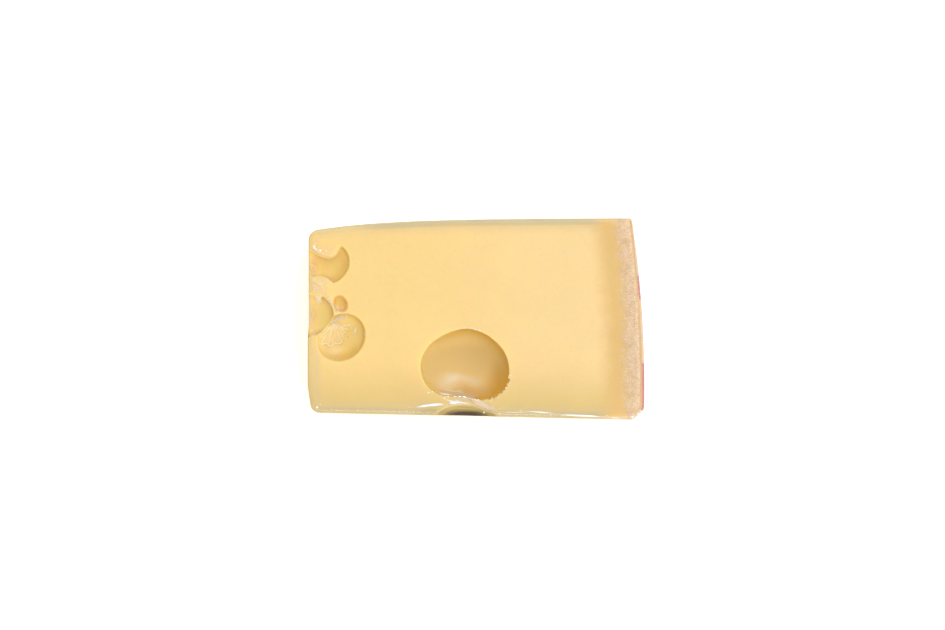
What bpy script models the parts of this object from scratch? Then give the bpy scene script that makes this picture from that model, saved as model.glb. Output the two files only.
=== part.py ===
"""Emmental cheese: a slab cut from a wheel, shrunk tight into clear film, as one solid.

The slab lies on its back. +X runs along its length towards the rind, +Y across its width, +Z up
out of the large cut face. The origin is the middle of the underside. All sizes are in metres.
"""

import math

import bmesh
import bpy
from mathutils import Matrix, Vector

# The slab: its cut left end, its width and thickness, and how round its edges are
LEFT_X = -0.0606
WIDTH = 0.0725
THICKNESS = 0.032
BACK_Y = WIDTH / 2
EDGE_ROUND = 0.0022

# The far long edge falls away towards the left end: it drops by this much, within this run
FAR_EDGE_DROP = 0.0048
FAR_EDGE_RUN = 0.021
# The near long edge climbs towards the left end
NEAR_EDGE_RISE = 0.0026
# The rind is a shallow arc, as the wheel's rim is domed. The knife met it slanting, so that it
# stands out further at the underside than at the face.
RIND_FACE_X = 0.0594
RIND_ARC_RADIUS = 0.336
RIND_CROWN_Y = -0.020
RIND_SLANT = 0.0019
RIND_BAND = 0.012
# Corners of the outline: rounded ones, and one that the film pulls flat
NEAR_LEFT_ROUND = 0.0032
FAR_LEFT_ROUND = 0.0034
FAR_RIGHT_ROUND = 0.0012
FILM_CORNER_CUT = 0.0040
CORNER_STEPS = 4
EDGE_STEPS = 3
OUTLINE_STEPS = 12

# Roundness of the cavities
MOUTH_STEPS = 28
DEPTH_STEPS = 12
LARGE_EYE_STEPS = 44

# The large eye in the face: its rim is a tilted oval with three faint lobes
LARGE_EYE_PLACE = (-0.0040, -0.0166)
LARGE_EYE_RADII = (0.0162, 0.0130)
LARGE_EYE_TILT = math.radians(-8)
LARGE_EYE_DEPTH = 0.0150
LARGE_EYE_WIDEST = 0.0022
LARGE_EYE_LOBE = 0.04
LARGE_EYE_LOBE_AT = math.radians(95)
LIP_ROUND = 0.0007

# Eyes that the knife opened at the left end: middle, the three half sizes, and the turn in
# degrees. Heights count from the face, down being negative.
UPPER_EYE = ((-0.0541, 0.0200, -0.0008), (0.0087, 0.0077, 0.0074), 20)
SIDE_EYE = ((-0.0594, 0.0016, -0.0012), (0.0082, 0.0076, 0.0086), -5)
SMALL_EYE = ((-0.0489, 0.0055, 0.0003), (0.0034, 0.0025, 0.0036), -65)
PLEATED_EYE = ((-0.0486, -0.0066, -0.0005), (0.0093, 0.0082, 0.0080), 45)
# The hollow that a burst eye left in the near long edge
EDGE_HOLLOW = ((-0.0040, -0.0362, 0.0), (0.0118, 0.0054, 0.0100), 0)

# Eyes in the sides and the underside: where on the surface, then half the width. Their middles
# lie a little below the surface.
FAR_SIDE_EYES = (((0.0190, 0.0130), 0.0072), ((-0.0270, 0.0185), 0.0030), ((0.0395, 0.0195), 0.0022))
NEAR_SIDE_EYES = (((0.0330, 0.0140), 0.0052), ((-0.0350, 0.0120), 0.0034))
UNDERSIDE_EYES = (((0.0270, 0.0110), 0.0096), ((-0.0290, -0.0120), 0.0068), ((-0.0180, 0.0170), 0.0032))
HIDDEN_EYE_FLATNESS = 0.8
HIDDEN_EYE_INSET = 0.0007

# Cheese that bulges into the eyes: the lip over the upper eye, and the bridge below it
LIP = ((-0.0555, 0.0286, -0.0030), (0.0076, 0.0054, 0.0085), -47)
BRIDGE = ((-0.0565, 0.0120, -0.0050), (0.0050, 0.0038, 0.0075), 0)
# A torn flake that hangs from the bridge into the side eye
FLAKE_ROOT = (-0.0555, 0.0094, -0.0022)
FLAKE_TIP = (-0.0567, 0.0062, -0.0044)
FLAKE_WIDTHS = (0.0011, 0.0006)
FLAKE_SIDES = 8
FLAKE_STRETCH = 1.6

# The fan of pleats: the film is pinched at a point, and its folds run down to the eye's floor
FAN_POINT = (-0.0517, -0.0012)
FAN_FROM = math.radians(-140)
FAN_TO = math.radians(0)
FAN_REACH_FROM = 0.0090
FAN_REACH_TO = 0.0060
FAN_TOP = -0.0022
FAN_FALL = 0.0042
FAN_ROOT = -0.0120
FAN_PLEATS = 9
PLEAT_HEIGHT = 0.00045
FAN_SCALLOPS = 4.5
SCALLOP_DEPTH = 0.0007
FAN_STEPS_ROUND = 54
FAN_STEPS_OUT = 6

CUT_OVERLAP = 0.003
MERGE_WITHIN = 0.00001
SHARP_FROM = math.radians(35)


def clear_scene():
    for existing in list(bpy.data.objects):
        bpy.data.objects.remove(existing)


def far_edge(x):
    """Y of the far long edge: level at the rind, dropping faster and faster towards the left end."""
    return BACK_Y - FAR_EDGE_DROP * math.exp(-(x - LEFT_X) / FAR_EDGE_RUN)


def near_edge(x):
    """Y of the near long edge, a straight line that climbs to the left."""
    return -BACK_Y + NEAR_EDGE_RISE * (RIND_FACE_X - x) / (RIND_FACE_X - LEFT_X)


def rind_edge(y):
    """X of the rind at the face, an arc crowned below the middle."""
    return RIND_FACE_X - (y - RIND_CROWN_Y) ** 2 / (2 * RIND_ARC_RADIUS)


def between(start, end, steps):
    """Evenly spaced values from start up to but not including end."""
    return [start + (end - start) * step / steps for step in range(steps)]


def outline():
    """The face's outline with sharp corners, anticlockwise from the near left one."""
    far_right_x = rind_edge(BACK_Y)
    near_right_x = rind_edge(-BACK_Y)
    near = [(x, near_edge(x)) for x in between(LEFT_X, near_right_x, 2)]
    rind = [(rind_edge(y), y) for y in between(-BACK_Y, BACK_Y, OUTLINE_STEPS)]
    far = [(x, far_edge(x)) for x in between(far_right_x, LEFT_X, OUTLINE_STEPS)]
    left = [(LEFT_X, far_edge(LEFT_X))]
    return near + rind + far + left


def nearest_upright(bm, x, y):
    """The upright edge of the extruded outline that stands closest to a corner."""
    upright = [e for e in bm.edges if abs(e.verts[0].co.z - e.verts[1].co.z) > THICKNESS / 2]
    return min(upright, key=lambda e: (e.verts[0].co.xy - Vector((x, y))).length)


def round_edges(bm, edges, width, steps):
    bmesh.ops.bevel(
        bm,
        geom=edges,
        offset=width,
        offset_type="OFFSET",
        segments=steps,
        profile=0.5,
        affect="EDGES",
        clamp_overlap=True,
    )


def object_of(bm, name):
    bmesh.ops.recalc_face_normals(bm, faces=bm.faces)
    mesh = bpy.data.meshes.new(name)
    bm.to_mesh(mesh)
    bm.free()
    made = bpy.data.objects.new(name, mesh)
    bpy.context.scene.collection.objects.link(made)
    return made


def slab():
    """The block: the outline raised to its thickness, slanted at the rind, with rounded edges."""
    bm = bmesh.new()
    floor = bm.faces.new([bm.verts.new((x, y, 0)) for x, y in outline()])
    raised = bmesh.ops.extrude_face_region(bm, geom=[floor])["geom"]
    top = [v for v in raised if isinstance(v, bmesh.types.BMVert)]
    bmesh.ops.translate(bm, verts=top, vec=(0, 0, THICKNESS))
    corners = (
        (LEFT_X, near_edge(LEFT_X), NEAR_LEFT_ROUND, CORNER_STEPS),
        (LEFT_X, far_edge(LEFT_X), FAR_LEFT_ROUND, CORNER_STEPS),
        (rind_edge(BACK_Y), BACK_Y, FAR_RIGHT_ROUND, CORNER_STEPS),
        (rind_edge(-BACK_Y), -BACK_Y, FILM_CORNER_CUT, 1),
    )
    for x, y, width, steps in corners:
        round_edges(bm, [nearest_upright(bm, x, y)], width, steps)
    for vert in bm.verts:
        share = max(0.0, min(1.0, (vert.co.x - RIND_FACE_X) / RIND_BAND + 1))
        vert.co.x += RIND_SLANT * share * (1 - vert.co.z / THICKNESS)
    rims = [e for e in bm.edges if abs(e.verts[0].co.z - e.verts[1].co.z) < EDGE_ROUND / 10]
    round_edges(bm, rims, EDGE_ROUND, EDGE_STEPS)
    return object_of(bm, "cheese")


def as_tool(tool):
    """Marks an object as a cutter or a filler, which isn't part of the model."""
    tool.hide_render = True
    tool.display_type = "WIRE"
    return tool


def ellipsoid(name, middle, radii, turn=0):
    """A ball stretched to three half sizes and turned. The middle's height counts from the face."""
    bm = bmesh.new()
    place = Matrix.Translation((middle[0], middle[1], THICKNESS + middle[2]))
    turned = Matrix.Rotation(math.radians(turn), 4, "Z")
    stretch = Matrix.Diagonal((*radii, 1))
    bmesh.ops.create_uvsphere(
        bm,
        u_segments=MOUTH_STEPS,
        v_segments=DEPTH_STEPS,
        radius=1,
        matrix=place @ turned @ stretch,
    )
    return as_tool(object_of(bm, name))


def large_eye():
    """The large eye, turned from its profile: a bowl, widest below the face, with a rounded lip."""
    long_radius, short_radius = LARGE_EYE_RADII
    rim_height = LARGE_EYE_WIDEST
    bowl_height = LARGE_EYE_DEPTH - LARGE_EYE_WIDEST
    belly = 1 / math.sqrt(1 - ((rim_height - LIP_ROUND) / bowl_height) ** 2)
    top_angle = math.asin((rim_height - LIP_ROUND) / bowl_height)
    bowl = []
    for angle in between(-math.pi / 2, top_angle, DEPTH_STEPS):
        bowl.append((belly * math.cos(angle), -rim_height + bowl_height * math.sin(angle)))
    lip = []
    for angle in between(math.pi, math.pi / 2, EDGE_STEPS) + [math.pi / 2]:
        across = LIP_ROUND / short_radius
        lip.append((1 + across * (1 + math.cos(angle)), LIP_ROUND * (math.sin(angle) - 1)))
    above = [(lip[-1][0], CUT_OVERLAP), (0.0, CUT_OVERLAP)]
    bm = bmesh.new()
    profile = [bm.verts.new((r, 0, z)) for r, z in bowl + lip + above]
    line = [bm.edges.new(pair) for pair in zip(profile, profile[1:])]
    bmesh.ops.spin(
        bm,
        geom=profile + line,
        cent=(0, 0, 0),
        axis=(0, 0, 1),
        angle=2 * math.pi,
        steps=LARGE_EYE_STEPS,
        use_merge=True,
        use_duplicate=False,
    )
    bmesh.ops.remove_doubles(bm, verts=bm.verts, dist=MERGE_WITHIN)
    tilt = Matrix.Rotation(LARGE_EYE_TILT, 3, "Z")
    middle = Vector((*LARGE_EYE_PLACE, THICKNESS))
    for vert in bm.verts:
        point = tilt @ Vector((vert.co.x * long_radius, vert.co.y * short_radius, 0))
        around = math.atan2(point.y, point.x)
        lobe = 1 + LARGE_EYE_LOBE * math.cos(3 * (around - LARGE_EYE_LOBE_AT))
        vert.co = middle + Vector((point.x * lobe, point.y * lobe, vert.co.z))
    return as_tool(object_of(bm, "large_eye"))


def hidden_eyes():
    """Balls for the eyes that the knife opened in the long sides and the underside."""
    balls = []
    long_sides = (
        ("far_side_eye", FAR_SIDE_EYES, far_edge, -HIDDEN_EYE_INSET),
        ("near_side_eye", NEAR_SIDE_EYES, near_edge, HIDDEN_EYE_INSET),
    )
    for name, eyes, edge, inset in long_sides:
        for number, ((x, z), size) in enumerate(eyes):
            radii = (size, size * HIDDEN_EYE_FLATNESS, size)
            middle = (x, edge(x) + inset, z - THICKNESS)
            balls.append(ellipsoid(f"{name}_{number}", middle, radii))
    for number, ((x, y), size) in enumerate(UNDERSIDE_EYES):
        flat = size * HIDDEN_EYE_FLATNESS
        middle = (x, y, HIDDEN_EYE_INSET - THICKNESS)
        balls.append(ellipsoid(f"underside_eye_{number}", middle, (size, flat, flat)))
    return balls


def flake():
    """The torn flake, a short tapered tongue of cheese."""
    root, tip = Vector(FLAKE_ROOT), Vector(FLAKE_TIP)
    along = tip - root
    place = Vector((0, 0, THICKNESS)) + (root + tip) / 2
    turn = along.to_track_quat("Z", "Y").to_matrix().to_4x4()
    bm = bmesh.new()
    bmesh.ops.create_cone(
        bm,
        cap_ends=True,
        segments=FLAKE_SIDES,
        radius1=FLAKE_WIDTHS[0],
        radius2=FLAKE_WIDTHS[1],
        depth=along.length * FLAKE_STRETCH,
        matrix=Matrix.Translation(place) @ turn,
    )
    return as_tool(object_of(bm, "flake"))


def fan_point(share_round, share_out):
    """A point of the pleated fan's top, from its pinched point out to its scalloped end."""
    angle = FAN_FROM + (FAN_TO - FAN_FROM) * share_round
    reach = FAN_REACH_FROM + (FAN_REACH_TO - FAN_REACH_FROM) * share_round
    reach += SCALLOP_DEPTH * (abs(math.sin(math.pi * FAN_SCALLOPS * share_round)) - 0.5)
    fold = math.cos(2 * math.pi * FAN_PLEATS * share_round)
    height = FAN_TOP - FAN_FALL * share_out + PLEAT_HEIGHT * fold * math.sin(math.pi * share_out)
    distance = reach * share_out
    return Vector(
        (
            FAN_POINT[0] + distance * math.cos(angle),
            FAN_POINT[1] + distance * math.sin(angle),
            THICKNESS + height,
        )
    )


def pleated_fan():
    """The fan of folds as a solid that fills the space under them, down into the cheese."""
    bm = bmesh.new()
    middle = bm.verts.new(fan_point(0, 0))
    rows = []
    for out in range(1, FAN_STEPS_OUT + 1):
        shares = [step / FAN_STEPS_ROUND for step in range(FAN_STEPS_ROUND + 1)]
        rows.append([bm.verts.new(fan_point(share, out / FAN_STEPS_OUT)) for share in shares])
    for first, second in zip(rows[0], rows[0][1:]):
        bm.faces.new((middle, first, second))
    for inner, outer in zip(rows, rows[1:]):
        for step in range(FAN_STEPS_ROUND):
            bm.faces.new((inner[step], outer[step], outer[step + 1], inner[step + 1]))
    rim = [e for e in bm.edges if e.is_boundary]
    skirt = bmesh.ops.extrude_edge_only(bm, edges=rim)["geom"]
    for vert in [v for v in skirt if isinstance(v, bmesh.types.BMVert)]:
        vert.co.z = THICKNESS + FAN_ROOT
    bmesh.ops.holes_fill(bm, edges=[e for e in bm.edges if e.is_boundary], sides=0)
    bmesh.ops.triangulate(bm, faces=[f for f in bm.faces if len(f.verts) > 4])
    return as_tool(object_of(bm, "pleated_fan"))


def combine(target, tools, operation):
    """Adds one live Boolean for each tool."""
    for tool in tools:
        step = target.modifiers.new(tool.name, "BOOLEAN")
        step.operation = operation
        step.solver = "EXACT"
        step.object = tool


def paste_material():
    """Pale yellow cheese under shiny film."""
    material = bpy.data.materials.new("paste")
    material.use_nodes = True
    shader = material.node_tree.nodes["Principled BSDF"]
    shader.inputs["Base Color"].default_value = (0.90, 0.66, 0.28, 1)
    shader.inputs["Roughness"].default_value = 0.35
    shader.inputs["Metallic"].default_value = 0.0
    return material


def open_eyes():
    """The balls that cut the eyes at the left end. Where cheese bulges in, a ball is cut first."""
    lip = ellipsoid("lip", *LIP)
    bridge = ellipsoid("bridge", *BRIDGE)
    upper_eye = ellipsoid("upper_eye", *UPPER_EYE)
    combine(upper_eye, [lip, bridge], "DIFFERENCE")
    side_eye = ellipsoid("side_eye", *SIDE_EYE)
    combine(side_eye, [bridge], "DIFFERENCE")
    small_eye = ellipsoid("small_eye", *SMALL_EYE)
    pleated_eye = ellipsoid("pleated_eye", *PLEATED_EYE)
    return [upper_eye, side_eye, small_eye, pleated_eye]


def build():
    clear_scene()
    cheese = slab()
    edge_hollow = ellipsoid("edge_hollow", *EDGE_HOLLOW)
    combine(cheese, [large_eye(), *open_eyes(), edge_hollow], "DIFFERENCE")
    combine(cheese, [flake(), pleated_fan()], "UNION")
    combine(cheese, hidden_eyes(), "DIFFERENCE")
    cheese.data.materials.append(paste_material())
    cheese.data.shade_smooth()
    cheese.data.set_sharp_from_angle(angle=SHARP_FROM)


build()
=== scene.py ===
"""Emmental in clear film: a slab with open eyes and a rind end, shrunk tight into film.

Laid out as a Blender add-on: sizes and colours are properties, each piece has an operator, and a
panel in the sidebar lists them. Run as a script, it builds everything once. All lengths are in
metres. The slab lies on its back: +X runs towards the rind, +Y across, +Z out of the face.
"""

import math
from collections import namedtuple

import bpy
import numpy as np
from bpy.props import FloatProperty, FloatVectorProperty, PointerProperty
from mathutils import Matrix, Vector


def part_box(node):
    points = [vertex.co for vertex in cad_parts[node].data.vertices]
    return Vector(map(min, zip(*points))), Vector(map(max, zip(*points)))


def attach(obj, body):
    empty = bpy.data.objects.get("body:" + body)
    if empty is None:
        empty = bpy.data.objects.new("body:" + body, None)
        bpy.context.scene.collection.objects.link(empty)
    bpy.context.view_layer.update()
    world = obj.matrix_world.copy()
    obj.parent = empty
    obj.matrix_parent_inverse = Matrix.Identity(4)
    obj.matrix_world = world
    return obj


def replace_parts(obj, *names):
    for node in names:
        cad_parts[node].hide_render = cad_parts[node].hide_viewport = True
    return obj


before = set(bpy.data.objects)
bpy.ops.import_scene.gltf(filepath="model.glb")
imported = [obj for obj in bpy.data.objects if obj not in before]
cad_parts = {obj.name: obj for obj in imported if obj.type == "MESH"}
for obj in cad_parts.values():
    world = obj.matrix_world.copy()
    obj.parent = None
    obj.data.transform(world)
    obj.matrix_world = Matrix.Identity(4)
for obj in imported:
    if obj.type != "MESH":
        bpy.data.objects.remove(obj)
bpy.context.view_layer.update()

bl_info = {
    "name": "Emmental in clear film",
    "version": (1, 0, 0),
    "blender": (4, 5, 0),
    "location": "View3D > Sidebar > Cheese",
    "description": "A slab of emmental with open eyes and a rind end, shrunk tight into film",
    "category": "Object",
}

NODE = "cheese"
MM = 0.001
BODY = "root"

# The slab's outline
LEFT_X = -0.0606
LEFT_FAR_INSET = 0.0003
LEFT_NEAR_INSET = 0.0011
LEFT_BEND_TO = -0.045
FAR_EDGE_RUN = 0.027
RIND_FACE_X = 0.0594
RIND_ARC_RADIUS = 0.460
RIND_CROWN_Y = -0.024
RIND_BAND = 0.012
RIND_BEND_FROM = 0.035
# Corners: which side in X and in Y, how far they reach, and how flat the film pulls them
CORNERS = (
    (-1, -1, 0.0032, 0.0),
    (-1, 1, 0.0034, 0.0),
    (1, 1, 0.0007, 0.0),
    (1, -1, 0.0034, 0.8),
)

# An eye or a bulge seen from above: its middle, how high that lies above the face, its half
# sizes along, across and down, and its turn in degrees
Oval = namedtuple("Oval", "x y z long short deep turn")
UPPER_EYE = Oval(-0.0541, 0.0200, -0.0008, 0.0087, 0.0077, 0.0058, 20)
SIDE_EYE = Oval(-0.0594, 0.0016, -0.0012, 0.0082, 0.0076, 0.0064, -5)
SMALL_EYE = Oval(-0.0489, 0.0055, 0.0003, 0.0034, 0.0026, 0.0040, -65)
PLEATED_EYE = Oval(-0.0486, -0.0066, -0.0005, 0.0093, 0.0082, 0.0062, 45)
EDGE_HOLLOW = Oval(-0.0040, -0.0362, 0.0, 0.0118, 0.0054, 0.0100, 0)
# Painted shade: an olive patch on the slope beside the hollow, and a dark spot at the left notch
SLOPE_SHADE = Oval(-0.0160, -0.0340, 0.0, 0.0085, 0.0026, 0.0, 3)
LEFT_NOTCH = Oval(-0.0602, -0.0061, 0.0, 0.0011, 0.0005, 0.0, 40)
OPEN_EYES = (UPPER_EYE, SIDE_EYE, SMALL_EYE, PLEATED_EYE, EDGE_HOLLOW)
LIP = Oval(-0.0555, 0.0286, 0.0, 0.0076, 0.0054, 0.0022, -47)
BRIDGE = Oval(-0.0565, 0.0120, -0.0006, 0.0050, 0.0038, 0.0026, 0)
BULGES = (LIP, BRIDGE)
BULGE_SQUARENESS = 11
BULGE_EYES = (UPPER_EYE, SIDE_EYE)

# The large eye: a turned bowl, widest below the face. Its rim is a tilted oval, swollen in
# lobes: how many, how much, and in which direction the first one points
LARGE_EYE = Oval(-0.0039, -0.0166, 0.0, 0.0162, 0.0125, 0.0150, -6.4)
LARGE_EYE_LOBES = (
    (3, 0.0615, math.radians(82)),
    (4, 0.0247, math.radians(41)),
    (5, 0.0161, math.radians(15)),
)
# How far out the lobes are full, how far below the face the bowl is widest, the radius of its
# lip, and the film's bowl: its share of the depth and the power that rounds its floor
LOBED_FROM = 0.85
LARGE_EYE_WIDEST = 0.0022
RIM_ROUND = 0.0004
FILM_BOWL_SHARE = 0.965
FILM_BOWL_POWER = 0.58
# Ragged bites in the rim: round which angle, how far to both sides and over what they fade, how
# deep, how much of that is left elsewhere, and the lengths and seeds of their waves
CRUMBLED_AT = -37
CRUMBLED_HALF = 32
CRUMBLED_FADE = 10
CRUMBLED_DEEP = 0.00026
CRUMBLED_ELSEWHERE = 0.10
CRUMBLED_WAVES = ((0.0013, 14), (0.0007, 12), (0.00045, 15))

# Walls that get little light, where painted shade turns them gold: the eye, in which direction from its
# middle, and how strong the painted shade is
UNLIT_WALLS = (
    (LARGE_EYE, math.radians(-52), 0.95),
    (UPPER_EYE, math.radians(-45), 0.40),
    (SMALL_EYE, math.radians(135), 1.0),
    (PLEATED_EYE, math.radians(-80), 0.60),
)

# Eyes in the long sides and the underside: where on the surface, then half the width
FAR_SIDE_EYES = (((0.0190, 0.0130), 0.0072), ((-0.0270, 0.0185), 0.0030), ((0.0395, 0.0195), 0.0022))
NEAR_SIDE_EYES = (((0.0330, 0.0140), 0.0052), ((-0.0350, 0.0120), 0.0034))
UNDERSIDE_EYES = (((0.0270, 0.0110), 0.0096), ((-0.0290, -0.0120), 0.0068), ((-0.0180, 0.0170), 0.0032))
HIDDEN_EYE_FLATNESS = 0.8
# The direction in which lit eye walls face, which get less painted shade
LIT_WALL = math.radians(20)
HIDDEN_EYE_INSET = 0.0007
# Grid points this near to their rims move onto them
SIDE_RIM_CATCH = 0.00055
BACK_RIM_CATCH = 0.0008

# The fan of folded film: it spreads from a pinched point, from one angle to another
FAN_POINT = (-0.0514, -0.0016)
FAN_FROM = math.radians(-138)
FAN_TO = math.radians(-18)
FAN_REACH_FROM = 0.0088
FAN_REACH_TO = 0.0062
FAN_TOP = -0.0016
FAN_FALLS = (0.0014, 0.0034, 0.0040)
FAN_ROOT = -0.0100
FAN_SKIRT = 0.22
FAN_SKIRT_ROWS = (0.08, 0.2, 0.4, 0.7, 1.0)
FAN_ROWS = 26
PLEAT_COLUMNS = 14
FAN_PLEATS = 9
PLEAT_HEIGHT = 0.00020
FAN_SCALLOPS = 4.5
SCALLOP_DEPTH = 0.0009

# How a surface follows the eyes: how far their rims are drawn in and over what width, the share
# of each eye's depth it reaches, the power that rounds their floors, and the seed of its waves
Fit = namedtuple("Fit", "rim_drop rim_width depths floor_power seed")
CHEESE_FIT = Fit(0.00008, 0.0003, (1.0, 1.0, 1.0, 1.0, 1.0), 0.56, 3)
FILM_FIT = Fit(0.00018, 0.0006, (0.94, 0.94, 0.9, 0.94, 0.60), 0.64, 5)

# Folds of the film: points along each in millimetres, half its width, its height, how milky it
# is and how much painted highlight whitens it
Fold = namedtuple("Fold", "path half_width height haze gleam")
FOLDS = (
    # under the lip and over the bridge
    Fold(((-58.9, 26.3), (-57.8, 25.2), (-56.3, 24.3)), 0.34, 0.10, 0.80, 1.0),
    Fold(((-58.9, 12.4), (-57.6, 11.2), (-56.3, 9.6)), 0.50, 0.12, 0.45, 0.4),
    Fold(((-56.9, 13.2), (-55.4, 11.6), (-54.3, 10.0)), 0.60, 0.12, 0.30, 0.5),
    Fold(((-54.4, 9.9), (-53.1, 6.6), (-51.3, 4.0), (-50.0, 1.3)), 1.15, 0.12, 0.30, 0.2),
    # round the pinched point of the fan
    Fold(((-51.4, -1.4), (-48.4, 0.6), (-45.8, 2.0)), 1.00, 0.12, 0.42, 0.3),
    Fold(((-52.7, -2.6), (-51.0, -0.7), (-49.2, 1.4)), 0.70, 0.15, 0.50, 0.35),
    Fold(((-50.5, -2.4), (-47.9, -2.4), (-45.1, -2.0)), 0.50, 0.12, 0.50, 0.8),
    Fold(((-59.9, -6.2), (-57.6, -5.0), (-54.6, -3.4)), 0.55, 0.10, 0.26, 0.1),
    Fold(((-44.4, -5.6), (-43.6, -4.0), (-43.3, -2.4)), 0.55, 0.22, 0.55, 0.8),
    # across the near side of the large eye
    Fold(((-14.0, -26.4), (-11.7, -27.0), (-8.6, -27.2)), 0.44, 0.18, 1.10, 1.0),
    Fold(((-12.6, -25.0), (-9.2, -25.6), (-6.4, -26.2), (-3.6, -27.2)), 0.60, 0.12, 0.34, 0.5),
    Fold(((-11.9, -28.5), (-8.1, -29.7), (-4.2, -30.2), (-1.0, -31.2)), 0.26, 0.12, 0.75, 0.9),
    Fold(((-10.4, -30.0), (-8.4, -30.3), (-6.0, -29.8)), 0.34, 0.12, 0.95, 1.0),
    Fold(((-9.9, -29.3), (-8.8, -29.8), (-7.7, -30.3)), 0.26, 0.10, 0.85, 1.0),
    Fold(((-8.6, -29.3), (-6.8, -29.4), (-5.2, -29.9)), 0.24, 0.10, 0.60, 0.9),
    Fold(((-22.2, -31.8), (-16.4, -30.9), (-11.0, -30.6)), 0.46, 0.16, 1.10, 1.0),
    Fold(((-3.6, -27.6), (-0.9, -29.3), (2.3, -30.9), (7.0, -32.4)), 1.10, 0.30, 0.66, 0.0),
    Fold(((-9.5, -28.0), (-5.6, -28.4), (-1.2, -29.9)), 1.10, 0.15, 0.40, 0.0),
    # over the hollow in the near edge
    Fold(((-14.0, -33.0), (-10.3, -31.0), (-4.2, -30.6), (2.6, -32.2)), 0.26, 0.12, 0.30, 0.5),
    Fold(((-2.0, -30.4), (3.4, -32.8), (8.6, -34.5)), 0.40, 0.14, 0.30, 0.3),
    # along the near edge, where painted highlights make white lines
    Fold(((8.4, -33.2), (13.2, -33.5), (18.9, -33.4)), 0.16, 0.08, 0.60, 1.0),
    Fold(((17.4, -33.0), (23.2, -33.5), (28.9, -33.9)), 0.28, 0.08, 0.85, 1.0),
    Fold(((29.6, -34.2), (35.4, -34.6), (40.0, -34.8), (45.6, -35.3)), 0.36, 0.08, 1.05, 1.0),
    Fold(((46.6, -35.3), (50.3, -35.5), (53.6, -35.6)), 0.20, 0.06, 0.75, 1.0),
)
# Across a fold: points over its top and under it, as shares of half its width, and the height of
# those under it as a share of its own. Rows along it
FOLD_TOP = (1, 0.8, 0.55, 0.3, 0, -0.3, -0.55, -0.8, -1)
FOLD_UNDER = (-0.6, 0, 0.6)
FOLD_UNDER_HEIGHT = -0.35
FOLD_ROWS = 40
# The torn flake that hangs into an eye, and how far it lies below the face along its way
FLAKE_DROPS = (0.0004, 0.0022, 0.0046)
FLAKE = Fold(((-58.2, 12.0), (-57.0, 9.0), (-56.5, 5.3)), 1.30, 0.5, 0.75, 0.45)
# Tiny gathers of film, painted white as glints: place in millimetres and half width
GLINT_BEADS = (
    ((-58.3, 26.1), 0.34), ((-57.8, 27.0), 0.16), ((-56.1, 24.6), 0.36), ((-54.0, 24.4), 0.24),
    ((-55.7, 21.3), 0.13), ((-54.2, 17.3), 0.16), ((-50.0, 4.0), 0.26), ((-40.2, -5.3), 0.20),
    ((-49.9, -14.6), 0.20), ((-11.5, -28.4), 0.26), ((-24.1, -31.7), 0.15), ((4.7, -32.0), 0.18),
    ((5.8, -31.4), 0.14), ((5.6, -32.2), 0.20), ((6.4, -32.3), 0.20), ((8.3, -32.3), 0.16),
    ((15.8, -32.9), 0.20), ((2.7, -33.6), 0.32), ((-57.2, -31.7), 0.40), ((-56.1, -30.7), 0.16),
    ((59.0, -33.0), 0.26), ((58.0, -34.0), 0.30), ((56.0, -35.2), 0.42), ((46.5, -35.4), 0.12),
    ((-45.8, -2.0), 0.22), ((-17.2, -26.4), 0.30),
)
# Crumbs of cheese on the face, the same way
CRUMBS = (
    ((-45.9, 20.0), 0.26), ((-46.3, 18.8), 0.22), ((-46.6, 17.9), 0.16), ((44.3, 11.1), 0.22),
    ((-0.9, -9.0), 0.14),
)
# Crumbs on the large eye's rim: from and to which angle, how many, and their half widths
RIM_CRUMBS = ((-64, -6, 44, (0.10, 0.23)), (72, 108, 44, (0.14, 0.28)), (112, 150, 12, (0.10, 0.18)))
# Painted glints and crumbs: height as a share of the width, and how rough
GLINT_BEAD_FORM = (0.45, 0.05)
CRUMB_FORM = (0.5, 0.4)
# Where the film turns milky: ovals with sizes in millimetres, then how much at their middles
HAZE_SPOTS = (
    ((-56.6, 11.4, 5.2, 3.2, -20), 0.20),
    ((-53.2, 6.6, 1.6, 6.0, 38), 0.20),
    ((-57.5, -4.6, 4.0, 1.2, 25), 0.20),
    ((56.0, -33.6, 3.0, 2.2, 35), 0.24),
    ((-6.0, -28.6, 8.0, 1.8, -8), 0.24),
    ((3.5, -31.0, 6.5, 1.6, -22), 0.22),
    ((-50.2, -0.6, 3.4, 1.8, 30), 0.30),
    ((-58.9, 19.0, 3.0, 6.0, 0), 0.36),
    ((-59.2, 1.5, 2.6, 7.0, 0), 0.34),
    ((-48.5, 3.6, 2.6, 1.9, 20), 0.40),
)

# How much less the film mirrors where the photo shows it dull, and the white of its painted highlights
UNSHINY_SHARE = 0.97
PAINTED_HIGHLIGHT_COLOUR = (1.0, 0.98, 0.94, 1.0)
# The bars on the rind: from and to along Y, from and to along Z, and how wide they fade
BARS = ((0.0068, 0.0158), (-0.0334, -0.0158))
BARS_UP = (0.0030, 0.0300)
BARS_FADE = 0.0004

# The lamps: name, setting of the power, both sides, and the place from the middle of the face
LAMPS = (
    ("key", "key_power", (1.1, 1.1), (0.20, 0.62, 1.28)),
    ("window", "window_power", (2.0, 2.0), (1.05, -0.90, 0.95)),
    ("strip", "strip_power", (0.60, 0.10), (0.10, -0.80, 0.48)),
    ("glow", "glow_power", (0.75, 0.75), (0.34, 1.12, 0.56)),
)
# Reflections don't show these lamps. The glow shows only in reflections, in its own colour
UNREFLECTED_LAMPS = ("key", "window")
GLOW_COLOUR = (0.48, 1.0, 1.60)
# The photo's width in pixels, the pixel over the slab's origin, and the middle one
PHOTO_WIDTH = 945
ORIGIN_PIXEL = (476.5, 319.0)
MIDDLE_PIXEL = (472.5, 315.0)
# The floor: half its side, its lines each way, and how far it lies below the slab
FLOOR_HALF = 4.0
FLOOR_LINES = 9
FLOOR_DROP = 0.0003

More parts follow.
